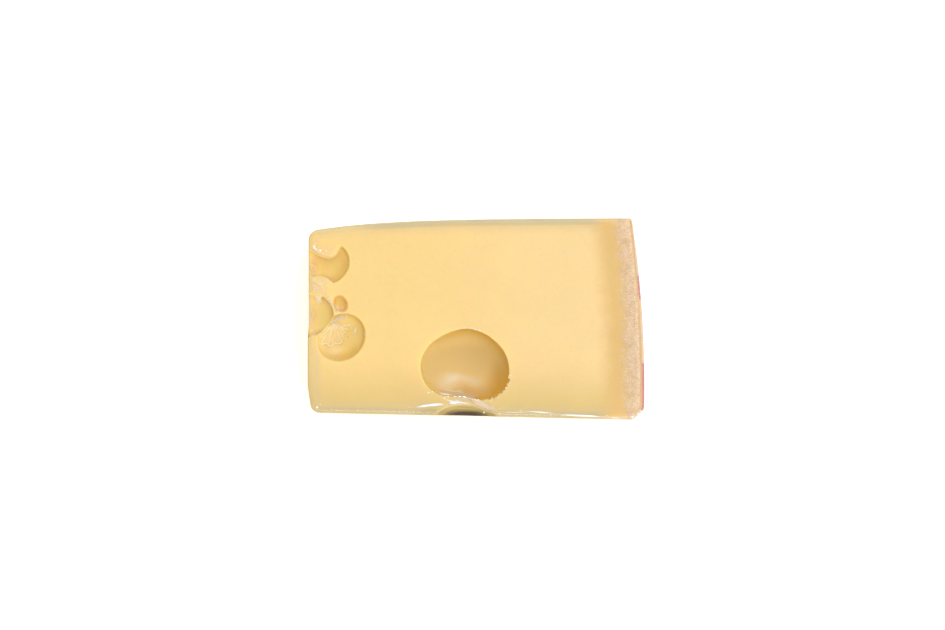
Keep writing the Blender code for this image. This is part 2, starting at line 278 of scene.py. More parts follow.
# The grid of the face. The large eye has rings of its own, and the rest has rows and columns.
BOWL_RINGS = 34
LIP_RINGS = 5
APRON_RINGS = 14
APRON_STEP = 0.00034
BLOCK_HALF = (0.0195, 0.0174)
PLAIN_GAP = 0.0008
EYE_GAP = 0.0003
EYES_END_X = -0.0375
EYES_END_Y = 0.0300
RIND_GAP = 0.0005
# The sides keep the face's columns down to here, and below it have evenly spaced ones
SIDE_SEAM_Z = 0.021
SEAM_HEIGHT = 0.0006
SIDE_COLUMNS = 360
UPPER_SIDE_ROWS = 6
LOWER_SIDE_ROWS = 22
BOTTOM_ARC_ROWS = 4
BACK_RINGS = 24


def number(name, description, default, **more):
    return FloatProperty(name=name, description=description, default=default, **more)


def length(name, description, default, **more):
    return number(name, description, default, subtype="DISTANCE", **more)


def power(name, description, default):
    return number(name, description, default, unit="POWER")


def colour_property(name, description, default):
    return FloatVectorProperty(
        name=name, description=description, default=default, size=3, min=0, max=1, subtype="COLOR"
    )


class CheeseSizes(bpy.types.PropertyGroup):
    """Sizes of the slab and of its film."""

    width: length("Width", "Across the slab", 0.0725, min=0.01)
    thickness: length("Thickness", "From the underside to the face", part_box(NODE)[1].z, min=0.005)
    edge_round: length("Edge rounding", "Radius along the edges of the face", 0.0022)
    far_edge_drop: length("Far edge drop", "How far the far edge falls away at the left end", 0.0047)
    near_edge_rise: length("Near edge rise", "How far the near edge climbs towards the left end", 0.0026)
    rind_slant: length("Rind slant", "How much further the rind stands out at the underside", 0.0019)
    film_mirror: number("Film mirror", "How much the film reflects, seen straight on", 0.06)
    film_gap: length("Film gap", "Space between the cheese and the film", 0.00012)


class CheeseColours(bpy.types.PropertyGroup):
    """Colours of the cheese, its rind and its film."""

    paste: colour_property("Paste", "The cut face at its left end", (0.95, 0.685, 0.275))
    paste_right: colour_property("Paste right", "The cut face at its right end", (0.94, 0.695, 0.335))
    # Painted shade: the face darkens near its edges, and more on their rounding
    paste_edge_shade: colour_property("Paste edge", "The face near its edges", (0.69, 0.56, 0.30))
    paste_near: colour_property("Paste near", "The face at the near side", (0.74, 0.555, 0.205))
    paste_rim_shade: colour_property("Paste rim", "The rounded edges of the face", (0.54, 0.44, 0.235))
    # Painted light and shade in the eyes: a darker gold deep in the large eye, a lighter paste in the
    # small eyes against their shade, and gold painted shade on steep walls
    eye: colour_property("Eye", "Deep inside the large eye", (0.885, 0.665, 0.28))
    shallow: colour_property("Shallow", "Inside the small eyes", (0.99, 0.735, 0.285))
    wall: colour_property("Wall", "The steep walls of the eyes", (0.735, 0.445, 0.075))
    # Painted shade in the hollow in the near edge: olive rings and a dark bottom
    olive_shade: colour_property("Olive", "The rings in the hollow in the near edge", (0.42, 0.32, 0.12))
    shade: colour_property("Shade", "The bottom of the hollow in the near edge", (0.10, 0.075, 0.045))
    # Painted shade: a thin dark line along the outline, where the rounded edges turn away
    line: colour_property("Line", "The thin brown line along the edges", (0.55, 0.36, 0.15))
    band: colour_property("Band", "The golden band next to the rind", (0.80, 0.54, 0.20))
    rind: colour_property("Rind", "The grainy rind where the knife cut it", (0.67, 0.46, 0.235))
    rind_grain: colour_property("Rind grain", "The pale grains in the rind", (0.87, 0.69, 0.52))
    skin: colour_property("Skin", "The outside of the rind", (0.62, 0.36, 0.14))
    bars: colour_property("Bars", "The printed bars on the rind", (0.44, 0.035, 0.018))
    film: colour_property("Film", "The clear film", (0.97, 0.97, 0.97))
    haze: colour_property("Haze", "Folded film, where it turns milky", (0.84, 0.68, 0.49))
    petal: colour_property("Petal", "The fan of folds, between its creases", (0.87, 0.73, 0.41))
    # The crease colour also paints a glint along the fan's outer arc
    crease: colour_property("Crease", "The creases of the fan", (0.94, 0.83, 0.69))
    floor: colour_property("Floor", "The floor under the slab", (0.93, 0.93, 0.93))


class StageSettings(bpy.types.PropertyGroup):
    """The camera, the lights and the floor."""

    camera_height: length("Camera height", "Above the face", 2.0)
    photo_scale: number("Scale", "Metres on the face for each picture pixel", 0.359e-3)
    fill: number("Fill", "Strength of the light all round", 0.68)
    key_power: power("Key power", "The large soft light at the far side", 6.0)
    window_power: power("Window power", "The soft light at the near right", 11.0)
    glow_power: power("Glow power", "Shows only as a soft reflection", 62.0)
    strip_power: power("Strip power", "The narrow light at the near side", 1.3)


def smooth_step(share):
    """Rises from 0 to 1 as the share does, with level ends."""
    share = np.clip(share, 0, 1)
    return share * share * (3 - 2 * share)


def random_waves(u, v, size, seed):
    """Smooth random hills about as wide as size: random heights on a square lattice, blended."""
    heights = np.random.default_rng(seed).uniform(-1, 1, (64, 64))
    column, row = np.floor(u / size).astype(int), np.floor(v / size).astype(int)
    across, up = smooth_step(u / size - column), smooth_step(v / size - row)
    column, row = column % 64, row % 64
    next_column, next_row = (column + 1) % 64, (row + 1) % 64
    low = heights[column, row] * (1 - across) + heights[next_column, row] * across
    high = heights[column, next_row] * (1 - across) + heights[next_column, next_row] * across
    return low * (1 - up) + high * up


def spaced(start, end, gap_at):
    """Places from start to end, as far apart as gap_at says for each stretch."""
    fine = np.linspace(start, end, 4001)
    density = 1 / gap_at(fine)
    steps = (density[1:] + density[:-1]) / 2 * np.diff(fine)
    count = np.concatenate(([0], np.cumsum(steps)))
    return np.interp(np.linspace(0, count[-1], math.ceil(count[-1]) + 1), count, fine)


def far_edge(x, sizes):
    """Y of the far long edge: level at the rind, dropping faster and faster to the left."""
    return sizes.width / 2 - sizes.far_edge_drop * np.exp((LEFT_X - x) / FAR_EDGE_RUN)


def left_edge(y):
    """X of the left end, which is drawn in a little at its far half and more at its near corner."""
    far_half, near_corner = smooth_step((y + 0.006) / 0.006), smooth_step((-0.024 - y) / 0.012)
    return LEFT_X + LEFT_FAR_INSET * far_half + LEFT_NEAR_INSET * near_corner


def near_edge(x, sizes):
    """Y of the near long edge, a straight line that climbs to the left."""
    return -sizes.width / 2 + sizes.near_edge_rise * (RIND_FACE_X - x) / (RIND_FACE_X - LEFT_X)


def rind_edge(y):
    """X of the rind at the face, an arc crowned below the middle."""
    return RIND_FACE_X - (y - RIND_CROWN_Y) ** 2 / (2 * RIND_ARC_RADIUS)


def oval_share(x, y, oval):
    """How far out in an oval a point lies: 0 at its middle, 1 on its rim."""
    turn = math.radians(oval.turn)
    along = (x - oval.x) * math.cos(turn) + (y - oval.y) * math.sin(turn)
    across = (y - oval.y) * math.cos(turn) - (x - oval.x) * math.sin(turn)
    return np.hypot(along / oval.long, across / oval.short)


def rim_gap(x, y, oval):
    """About how far a point lies outside an oval's rim, and below zero inside it."""
    return (oval_share(x, y, oval) - 1) * (oval.long + oval.short) / 2


def eyes_gap(x, y):
    """How far a point lies outside the open eyes, and below zero where the cheese is cut away.

    It is the least of the gaps to each eye, but never less than a bulge's depth inside its rim.
    """
    gap = np.min([rim_gap(x, y, eye) for eye in OPEN_EYES], axis=0)
    bulge_gap = np.min([rim_gap(x, y, bulge) for bulge in BULGES], axis=0)
    bulging = np.min([rim_gap(x, y, eye) for eye in BULGE_EYES], axis=0) <= 0
    return np.where(bulging, np.maximum(gap, -bulge_gap), gap)


def snapped(x, y, gap):
    """Moves grid points that lie near an eye's rim onto it, so that the rim is a clean line.

    Each point slides down the slope of eyes_gap by its own height, found from two small steps.
    """
    step = 1e-6
    for _ in range(2):
        here = eyes_gap(x, y)
        slope_x = (eyes_gap(x + step, y) - here) / step
        slope_y = (eyes_gap(x, y + step) - here) / step
        steep = np.maximum(slope_x**2 + slope_y**2, 0.05)
        near = np.abs(here) < gap * np.sqrt(steep)
        x = np.where(near, x - here * slope_x / steep, x)
        y = np.where(near, y - here * slope_y / steep, y)
    return x, y


def round_corner(first, second, reach, flat):
    """Turns the L-shaped lines round a sharp corner into arcs, or for flat = 1 into cuts.

    first and second are the distances from the two sides. A line keeps its distance from them:
    the arc at distance d has the radius reach - d, and all arcs share one middle.
    """
    inner = np.minimum(first, second)
    radius = np.maximum(reach - inner, 1e-9)
    along = np.clip(np.abs(first - second) / radius, 0, 1)
    angle = (1 - along) * math.pi / 4
    arc = (reach - radius * np.cos(angle), reach - radius * np.sin(angle))
    cut = (inner + radius * (1 - along) / 2, inner + radius * (1 + along) / 2)
    low, high = (a * (1 - flat) + c * flat for a, c in zip(arc, cut))
    inside = np.maximum(first, second) < reach
    new_first = np.where(first <= second, low, high)
    new_second = np.where(first <= second, high, low)
    return np.where(inside, new_first, first), np.where(inside, new_second, second)


def large_eye_rim(angle, ragged=1.0, lobed=1.0):
    """The large eye's rim about its middle: a tilted oval, swollen in faint lobes.

    ragged and lobed say how much of the bites and of the lobes there is, from 0 to 1.
    """
    turn = math.radians(LARGE_EYE.turn)
    along, across = LARGE_EYE.long * np.cos(angle), LARGE_EYE.short * np.sin(angle)
    x = along * math.cos(turn) - across * math.sin(turn)
    y = along * math.sin(turn) + across * math.cos(turn)
    swell = (1 + lobed * (large_eye_lobe(x, y) - 1)) * (1 + ragged * crumbled(angle))
    return x * swell, y * swell


def large_eye_lobe(x, y):
    """How much the lobes swell the large eye in the direction of a point: a sum of cosines."""
    angle = np.arctan2(y, x)
    return 1 + sum(amount * np.cos(count * (angle - at)) for count, amount, at in LARGE_EYE_LOBES)


def crumbled(angle):
    """Ragged bites in the large eye's rim: small random waves, strongest at its near right."""
    from_middle = np.abs((np.degrees(angle) + 180) % 360 - 180 - CRUMBLED_AT)
    near = smooth_step((CRUMBLED_HALF - from_middle) / CRUMBLED_FADE)
    ragged = CRUMBLED_ELSEWHERE + (1 - CRUMBLED_ELSEWHERE) * near
    along = angle * LARGE_EYE.short
    wave = sum(random_waves(along, 0 * along, size, seed) for size, seed in CRUMBLED_WAVES)
    return ragged * wave * CRUMBLED_DEEP / LARGE_EYE.short


def cheese_bowl():
    """Share of the rim and height for each ring of the large eye, from its floor to its lip.

    The bowl is an arc whose widest ring lies below the face. The lip is a quarter circle.
    """
    bowl_height = LARGE_EYE.deep - LARGE_EYE_WIDEST
    top = math.asin((LARGE_EYE_WIDEST - RIM_ROUND) / bowl_height)
    angle = np.linspace(-math.pi / 2, top, BOWL_RINGS, endpoint=False)
    share = np.cos(angle) / math.cos(top)
    height = bowl_height * np.sin(angle) - LARGE_EYE_WIDEST
    turn = np.linspace(math.pi, math.pi / 2, LIP_RINGS + 1)
    lip_share = 1 + RIM_ROUND / LARGE_EYE.short * (1 + np.cos(turn))
    return np.append(share, lip_share), np.append(height, RIM_ROUND * (np.sin(turn) - 1))


def film_bowl():
    """The same rings for the film, which is drawn in less deep and leaves the rim in a soft bend."""
    share = np.sin(np.linspace(0, math.pi / 2, BOWL_RINGS, endpoint=False))
    height = film_bowl_floor(share)
    turn = np.linspace(math.pi, math.pi / 2, LIP_RINGS + 1)
    lip_share = 1 + 1.3 * RIM_ROUND / LARGE_EYE.short * (1 + np.cos(turn))
    return np.append(share, lip_share), np.append(height, 0.8 * RIM_ROUND * (np.sin(turn) - 1))


def face_lines(sizes):
    """X of the face's columns and Y of its rows, and where the large eye's block starts."""
    lines = 2 * (BOWL_RINGS + LIP_RINGS + APRON_RINGS) + 1
    half = sizes.width / 2

    def near_border(gap, distance):
        return np.minimum(gap, 0.00007 + 0.12 * distance)

    def column_gap(x):
        gap = np.where(x < EYES_END_X, EYE_GAP, np.where(x > RIND_BEND_FROM, RIND_GAP, PLAIN_GAP))
        return near_border(gap, np.minimum(x - LEFT_X, RIND_FACE_X - x))

    def row_gap(y):
        gap = np.where(y < EYES_END_Y, EYE_GAP, PLAIN_GAP)
        return near_border(gap, np.minimum(y + half, half - y))

    placed = []
    for middle, reach, low, high, gap_at in (
        (LARGE_EYE.x, BLOCK_HALF[0], LEFT_X, RIND_FACE_X, column_gap),
        (LARGE_EYE.y, BLOCK_HALF[1], -half, half, row_gap),
    ):
        before = spaced(low, middle - reach, gap_at)[:-1]
        block = np.linspace(middle - reach, middle + reach, lines)
        after = spaced(middle + reach, high, gap_at)[1:]
        placed.append((np.concatenate([before, block, after]), len(before)))
    return placed


def face_plan(sizes, bowl):
    """The face's grid seen from above: x, y, distance from the outline, and the bowl's heights.

    Rows and columns of a sharp-cornered block are bent in turn: corners into arcs, the right end
    to the rind's arc, the rows to the slanting long edges. Round the large eye, square rings of
    the grid become rings of the rim's shape, which turn back into the grid over the apron.
    """
    (columns, first_column), (rows, first_row) = face_lines(sizes)
    half = sizes.width / 2
    x, y = np.meshgrid(columns, rows)
    inset = np.min([x - LEFT_X, RIND_FACE_X - x, y + half, half - y], axis=0)
    for side_x, side_y, reach, flat in CORNERS:
        corner_x = LEFT_X if side_x < 0 else RIND_FACE_X
        corner_y = side_y * half
        first, second = round_corner(-side_x * (x - corner_x), -side_y * (y - corner_y), reach, flat)
        x, y = corner_x - side_x * first, corner_y - side_y * second
    bend = smooth_step((x - RIND_BEND_FROM) / (RIND_FACE_X - RIND_BEND_FROM))
    x = x + (rind_edge(y) - RIND_FACE_X) * bend
    bend = smooth_step((LEFT_BEND_TO - x) / (LEFT_BEND_TO - LEFT_X))
    x = x + (left_edge(y) - LEFT_X) * bend
    near, far = near_edge(x, sizes), far_edge(x, sizes)
    y = near + (y + half) * (far - near) / sizes.width

    reach = BOWL_RINGS + LIP_RINGS + APRON_RINGS
    along, up = np.meshgrid(np.arange(-reach, reach + 1.0), np.arange(-reach, reach + 1.0))
    ring = np.maximum(np.abs(along), np.abs(up)).astype(int)
    wide = np.abs(along) >= np.abs(up)
    signed = np.where(wide, along, up)
    ratio = np.divide(np.where(wide, up, along), signed, out=np.zeros_like(signed), where=ring > 0)
    angle = np.where(wide, ratio, 2 - ratio) * math.pi / 4 + np.where(signed < 0, math.pi, 0)
    share, height = bowl
    apron = np.arange(1, APRON_RINGS + 1)
    share = np.append(share, share[-1] + apron * APRON_STEP / LARGE_EYE.short)
    near_rim, lobed = smooth_step((ring - BOWL_RINGS + 6) / 6), smooth_step(share[ring] / LOBED_FROM)
    rim_x, rim_y = large_eye_rim(angle, near_rim, lobed)
    back = smooth_step((ring - (BOWL_RINGS + LIP_RINGS + 1)) / (APRON_RINGS - 1))
    block = tuple(slice(first, first + 2 * reach + 1) for first in (first_row, first_column))
    x[block] = (LARGE_EYE.x + share[ring] * rim_x) * (1 - back) + x[block] * back
    y[block] = (LARGE_EYE.y + share[ring] * rim_y) * (1 - back) + y[block] * back

    bowl_height = np.full(x.shape, np.nan)
    ringed = np.append(height, np.full(APRON_RINGS, np.nan))
    bowl_height[block] = ringed[ring]
    flat_part = np.isnan(bowl_height)
    moved_x, moved_y = snapped(x, y, EYE_GAP * 0.55)
    inner = flat_part & (inset > 0)
    x, y = np.where(inner, moved_x, x), np.where(inner, moved_y, y)
    return x, y, inset, bowl_height


def bulge_height(x, y, bulge):
    """Height of a bulge above the face: level in its middle, rounding down to its own depth."""
    share = np.clip(oval_share(x, y, bulge), 0, 1)
    return bulge.z - bulge.deep * (1 - np.sqrt(1 - share**BULGE_SQUARENESS))


def face_height(x, y, inset, sizes, fit):
    """Height over the plan, counted from the face's plane, for the cheese or for its film.

    The face rounds down to the outline. Inside an eye the floor is the lower half of a ball, or
    softer for a higher power. A bulge hangs into its eye from the rim.
    """
    radius = sizes.edge_round
    rest = radius - np.clip(inset, 0, radius)
    height = np.sqrt(radius**2 - rest**2) - radius
    gap = eyes_gap(x, y)
    height = height - fit.rim_drop * np.exp(-np.abs(gap) / fit.rim_width)
    height = height + 0.00003 * random_waves(x, y, 0.005, fit.seed)
    into_eye = -np.min([rim_gap(x, y, eye) for eye in BULGE_EYES], axis=0)
    for bulge in BULGES:
        hanging = smooth_step(into_eye / 0.0022) * (oval_share(x, y, bulge) < 1.02)
        height = height + (bulge_height(x, y, bulge) - height) * hanging
    floor = np.full(x.shape, 1.0)
    for eye, depth in zip(OPEN_EYES, fit.depths):
        share = oval_share(x, y, eye)
        ball = depth * (eye.z - eye.deep * np.clip(1 - share**2, 0, 1) ** fit.floor_power)
        floor = np.where(share < 1, np.minimum(floor, ball), floor)
    return np.where(gap < -1e-6, np.minimum(height, floor), height)


def film_top(x, y, sizes):
    """Z of the film over any point of the face, also inside the large eye."""
    sides = (x - left_edge(y), rind_edge(y) - x, y - near_edge(x, sizes), far_edge(x, sizes) - y)
    height = face_height(x, y, np.min(sides, axis=0), sizes, FILM_FIT)
    from_x, from_y = x - LARGE_EYE.x, y - LARGE_EYE.y
    lobed = smooth_step(oval_share(x, y, LARGE_EYE) / LOBED_FROM)
    lobe = 1 + lobed * (large_eye_lobe(from_x, from_y) - 1)
    share = oval_share(LARGE_EYE.x + from_x / lobe, LARGE_EYE.y + from_y / lobe, LARGE_EYE)
    return sizes.thickness + sizes.film_gap + np.where(share < 1, film_bowl_floor(share), height)


def film_bowl_floor(share):
    """Height of the film in the large eye, for a share of the way out to its rim."""
    return -FILM_BOWL_SHARE * LARGE_EYE.deep * np.clip(1 - share**2, 0, 1) ** FILM_BOWL_POWER


def sunken(place, flat_place, eyes, depth_share):
    """How deep a side or the underside is sunk by its eyes: the deeper half of flattened balls."""
    depth = np.zeros(place.shape)
    for (middle, level), size in eyes:
        share = np.hypot((place - middle) / size, (flat_place - level) / size)
        ball = HIDDEN_EYE_INSET + size * HIDDEN_EYE_FLATNESS * np.sqrt(np.clip(1 - share**2, 0, 1))
        depth = np.where(share < 1, np.maximum(depth, ball * depth_share), depth)
    return depth


def rounded_to_rims(place, level, eyes, gap):
    """Moves points near the rim of a side eye onto it, straight away from the eye's middle."""
    for (middle, height), size in eyes:
        share = np.maximum(np.hypot((place - middle) / size, (level - height) / size), 1e-6)
        near = np.abs(share - 1) * size < gap
        place = np.where(near, middle + (place - middle) / share, place)
        level = np.where(near, height + (level - height) / share, level)
    return place, level


def grid_faces(numbers):
    """Quads between neighbouring rows and columns of a table of point numbers."""
    corners = (numbers[:-1, :-1], numbers[:-1, 1:], numbers[1:, 1:], numbers[1:, :-1])
    return np.stack(corners, axis=-1).reshape(-1, 4)


def side_point(x, y, z, sizes, depth_share):
    """Sides with their eyes: points of the long sides sink in, and the rind leans outwards."""
    half_way = (near_edge(x, sizes) + far_edge(x, sizes)) / 2
    long_side = np.minimum(np.abs(y - near_edge(x, sizes)), np.abs(y - far_edge(x, sizes))) < 1e-4
    for sign, edge, eyes in ((-1, near_edge, NEAR_SIDE_EYES), (1, far_edge, FAR_SIDE_EYES)):
        here = long_side & (np.sign(y - half_way) == sign)
        moved_x, moved_z = rounded_to_rims(x, z, eyes, SIDE_RIM_CATCH)
        depth = sunken(moved_x, moved_z, eyes, depth_share)
        touched = here & ((moved_x != x) | (depth > 0))
        on_rim = (moved_x != x) | (moved_z != z)
        depth = np.where(on_rim, 0, depth)
        x, z = np.where(touched, moved_x, x), np.where(touched, moved_z, z)
        y = np.where(touched, edge(x, sizes) - sign * depth, y)
    return x, y, z


def closed_slab(sizes, bowl, fit, depth_share, gap=0.0):
    """The whole closed surface: face, sides and underside.

    The face is a grid. Its border goes straight down the sides to a seam. There it meets evenly
    spaced columns, which go on down, round under the slab and in rings to the underside's middle.
    Returns points, quads, triangles and each point's distance from the edge and depth in an eye.
    """
    x, y, inset, bowl_height = face_plan(sizes, bowl)
    height = np.where(np.isnan(bowl_height), face_height(x, y, inset, sizes, fit), bowl_height)
    z = sizes.thickness + height
    rows, columns = x.shape
    face = np.stack([x, y, z], axis=-1).reshape(-1, 3)
    numbers = np.arange(rows * columns).reshape(rows, columns)
    quads = [grid_faces(numbers)]
    border = np.concatenate(
        [numbers[0, :-1], numbers[:-1, -1], numbers[-1, :0:-1], numbers[:0:-1, 0]]
    )

    top = face[border]
    drop = np.linspace(0, 1, UPPER_SIDE_ROWS + 1)[1:, None]
    upper_z = top[:, 2] * (1 - drop) + SIDE_SEAM_Z * drop
    upper_x = np.broadcast_to(top[:, 0], upper_z.shape)
    upper_y = np.broadcast_to(top[:, 1], upper_z.shape)
    upper = np.stack(side_point(upper_x, upper_y, upper_z, sizes, depth_share), axis=-1)
    upper_numbers = len(face) + np.arange(upper_z.size).reshape(upper_z.shape)
    table = np.vstack([border, upper_numbers])
    quads.append(grid_faces(np.column_stack([table, table[:, 0]]).T))

    around = np.linalg.norm(np.diff(top[:, :2], axis=0, append=top[:1, :2]), axis=1)
    share = np.concatenate(([0], np.cumsum(around)))
    share /= share[-1]
    even = np.arange(SIDE_COLUMNS) / SIDE_COLUMNS
    closed = np.vstack([top, top[:1]])
    ring_x, ring_y = (np.interp(even, share, closed[:, axis]) for axis in (0, 1))
    ring = np.stack([ring_x, ring_y])
    ahead = np.roll(ring, -1, axis=1) - np.roll(ring, 1, axis=1)
    inward = np.stack([-ahead[1], ahead[0]]) / np.linalg.norm(ahead, axis=0)
    radius = sizes.edge_round
    down = np.linspace(0, 1, LOWER_SIDE_ROWS + 1)[:, None]
    lower_z = (SIDE_SEAM_Z - SEAM_HEIGHT) * (1 - down) + radius * down
    lower_z = np.broadcast_to(lower_z, (LOWER_SIDE_ROWS + 1, SIDE_COLUMNS))
    lower_x, lower_y = (np.broadcast_to(part, lower_z.shape) for part in (ring_x, ring_y))
    lower = np.stack(side_point(lower_x, lower_y, lower_z, sizes, depth_share), axis=-1)
    bend = np.linspace(0, math.pi / 2, BOTTOM_ARC_ROWS + 1)[1:, None]
    pulled = radius * (1 - np.cos(bend))
    arc_z = np.broadcast_to(radius * (1 - np.sin(bend)), (BOTTOM_ARC_ROWS, SIDE_COLUMNS))
    arc = np.stack([ring_x + pulled * inward[0], ring_y + pulled * inward[1], arc_z], axis=-1)
    left = 1 - np.arange(1, BACK_RINGS)[:, None] / BACK_RINGS
    back_x, back_y = arc[-1, :, 0] * left, arc[-1, :, 1] * left
    flat = 1 / HIDDEN_EYE_FLATNESS
    back_eyes = [((ex, ey * flat), size) for (ex, ey), size in UNDERSIDE_EYES]
    back_x, back_y = rounded_to_rims(back_x, back_y * flat, back_eyes, BACK_RIM_CATCH)
    depth = sunken(back_x, back_y, back_eyes, depth_share)
    off_rims = [np.hypot(back_x - ex, back_y - ey) - size for (ex, ey), size in back_eyes]
    on_rim = np.min(np.abs(off_rims), axis=0) < 1e-6
    back = np.stack([back_x, back_y / flat, np.where(on_rim, 0, depth)], axis=-1)
    below = np.concatenate([lower, arc, back])
    first_below = len(face) + upper_numbers.size
    below_numbers = first_below + np.arange(below.shape[0] * SIDE_COLUMNS).reshape(-1, SIDE_COLUMNS)
    quads.append(grid_faces(np.column_stack([below_numbers, below_numbers[:, 0]]).T))

    fine, coarse = upper_numbers[-1], below_numbers[0]
    nearest = np.round(share * SIDE_COLUMNS).astype(int)
    here, after = nearest[:-1], nearest[1:]
    next_fine = np.roll(fine, -1)
    seam = [np.column_stack([fine, coarse[here % SIDE_COLUMNS], next_fine])]
    step = after > here
    seam.append(
        np.column_stack([next_fine, coarse[here % SIDE_COLUMNS], coarse[after % SIDE_COLUMNS]])[step]
    )
    pole = first_below + below_numbers.size
    last = below_numbers[-1]
    seam.append(np.column_stack([last, np.full(SIDE_COLUMNS, pole), np.roll(last, -1)]))
    points = np.concatenate([face, upper.reshape(-1, 3), below.reshape(-1, 3), np.zeros((1, 3))])

    share_out = np.clip((points[:, 0] - RIND_FACE_X) / RIND_BAND + 1, 0, 1)
    points[:, 0] += sizes.rind_slant * share_out * (1 - points[:, 2] / sizes.thickness)
    quads, triangles = np.concatenate(quads), np.concatenate(seam)
    if gap:
        points += (gap * wrinkled(points, sizes))[:, None] * point_normals(points, quads, triangles)
    edge = np.concatenate([inset.ravel(), sizes.thickness - radius - points[len(face):, 2]])
    eye_depth = np.concatenate([-height.ravel(), np.zeros(len(points) - len(face))])
    return points, quads, triangles, np.maximum(edge, 0), eye_depth


def wrinkled(points, sizes):
    """How far the film stands off: 1 on the face, and up to 4 in sharp creases down the sides.

    A crease is where slow waves cross zero: one minus their size, to a high power.
    """
    below = smooth_step((sizes.thickness - sizes.edge_round - points[:, 2]) / 0.006)
    above = smooth_step(points[:, 2] / 0.006)
    round_the_side = (points[:, 0] + points[:, 1]) * 0.8
    waves = random_waves(round_the_side + 0.25 * points[:, 2], points[:, 2] * 0.35, 0.009, 21)
    crease = (1 - np.abs(waves)) ** 14
    return 1 + 3 * crease * below * above


def point_normals(points, quads, triangles):
    """Unit normals at the points: the sum of the area-weighted normals of the faces round each."""
    normals = np.zeros_like(points)
    for faces in (quads[:, [0, 1, 2]], quads[:, [0, 2, 3]], triangles):
        a, b, c = (points[faces[:, k]] for k in range(3))
        across = np.cross(b - a, c - a)
        for k in range(3):
            np.add.at(normals, faces[:, k], across)
    lengths = np.linalg.norm(normals, axis=1, keepdims=True)
    return normals / np.maximum(lengths, 1e-20)


def mesh_piece(name, points, quads, triangles, material, attributes=()):
    """Makes a smooth-shaded object from arrays, with float attributes for the materials."""
    mesh = bpy.data.meshes.new(name)
    corners = np.concatenate([quads.ravel(), triangles.ravel()]).astype(np.int32)
    quad_starts = np.arange(len(quads)) * 4
    triangle_starts = len(quads) * 4 + np.arange(len(triangles)) * 3
    mesh.vertices.add(len(points))
    mesh.vertices.foreach_set("co", points.astype(np.float32).ravel())
    mesh.loops.add(len(corners))
    mesh.loops.foreach_set("vertex_index", corners)
    mesh.polygons.add(len(quads) + len(triangles))
    starts = np.concatenate([quad_starts, triangle_starts]).astype(np.int32)
    mesh.polygons.foreach_set("loop_start", starts)
    mesh.update(calc_edges=True)
    mesh.validate()
    mesh.shade_smooth()
    for key, values in dict(attributes).items():
        layer = mesh.attributes.new(key, "FLOAT", "POINT")
        layer.data.foreach_set("value", values.astype(np.float32))
    mesh.materials.append(material)
    piece = bpy.data.objects.new(name, mesh)
    bpy.context.scene.collection.objects.link(piece)
    return piece


def feed(tree, node, sockets):
    """Fills a node's inputs with values or links."""
    for key, value in sockets.items():
        if isinstance(value, bpy.types.NodeSocket):
            tree.links.new(value, node.inputs[key])
        else:
            node.inputs[key].default_value = value


def add_node(tree, kind, sockets=(), **options):
    """Adds a node, sets its options, and fills its inputs."""
    made = tree.nodes.new(kind)
    for key, value in options.items():
        setattr(made, key, value)
    feed(tree, made, dict(sockets))
    return made


def maths(tree, operation, first, second=0.0, third=0.0, clamp=False):
    made = add_node(tree, "ShaderNodeMath", {0: first, 1: second, 2: third}, operation=operation)
    made.use_clamp = clamp
    return made.outputs[0]


def mixed(tree, share, first, second, blend="MIX"):
    """Mixes two colours. Their sockets and the result's are picked by number."""
    sockets = {0: share, 6: first, 7: second}
    made = add_node(tree, "ShaderNodeMix", sockets, data_type="RGBA", blend_type=blend)
    return made.outputs[2]


def ramp(tree, value, start, end, low=0.0, high=1.0):
    """Maps a value smoothly from start..end to low..high."""
    made = add_node(
        tree,
        "ShaderNodeMapRange",
        {"Value": value, "From Min": start, "From Max": end, "To Min": low, "To Max": high},
        interpolation_type="SMOOTHSTEP",
    )
    return made.outputs["Result"]


def noise(tree, vector, scale, detail=2.0, roughness=0.5, distortion=0.0):
    made = add_node(
        tree,
        "ShaderNodeTexNoise",
        {
            "Vector": vector,
            "Scale": scale,
            "Detail": detail,
            "Roughness": roughness,
            "Distortion": distortion,
        },
    )
    return made.outputs["Fac"]


def object_place(tree):
    return add_node(tree, "ShaderNodeTexCoord").outputs["Object"]


def attribute(tree, name):
    return add_node(tree, "ShaderNodeAttribute", attribute_name=name).outputs["Fac"]


def new_group(name, inputs, outputs):
    """A shader node group with named inputs and outputs. Returns it, its input and output nodes."""
    group = bpy.data.node_groups.new(name, "ShaderNodeTree")
    for label, kind, default in inputs:
        socket = group.interface.new_socket(label, in_out="INPUT", socket_type=kind)
        socket.default_value = default
    for label, kind in outputs:
        group.interface.new_socket(label, in_out="OUTPUT", socket_type=kind)
    return group, group.nodes.new("NodeGroupInput"), group.nodes.new("NodeGroupOutput")


def grain_group():
    """Slow and fine unevenness of a soft surface, as two values round zero and a bump height."""
    if "Soft grain" in bpy.data.node_groups:
        return bpy.data.node_groups["Soft grain"]
    inputs = (("Slow scale", "NodeSocketFloat", 60.0), ("Fine scale", "NodeSocketFloat", 900.0))
    outputs = (("Slow", "NodeSocketFloat"), ("Fine", "NodeSocketFloat"), ("Height", "NodeSocketFloat"))
    group, given, result = new_group("Soft grain", inputs, outputs)
    place = object_place(group)
    slow = noise(group, place, given.outputs["Slow scale"], 3.0, 0.55, 0.4)
    fine = noise(group, place, given.outputs["Fine scale"], 3.0, 0.6)
    given_back = {
        "Slow": maths(group, "SUBTRACT", slow, 0.5),
        "Fine": maths(group, "SUBTRACT", fine, 0.5),
        "Height": maths(group, "MULTIPLY_ADD", slow, 0.35, fine),
    }
    feed(group, result, given_back)
    return group


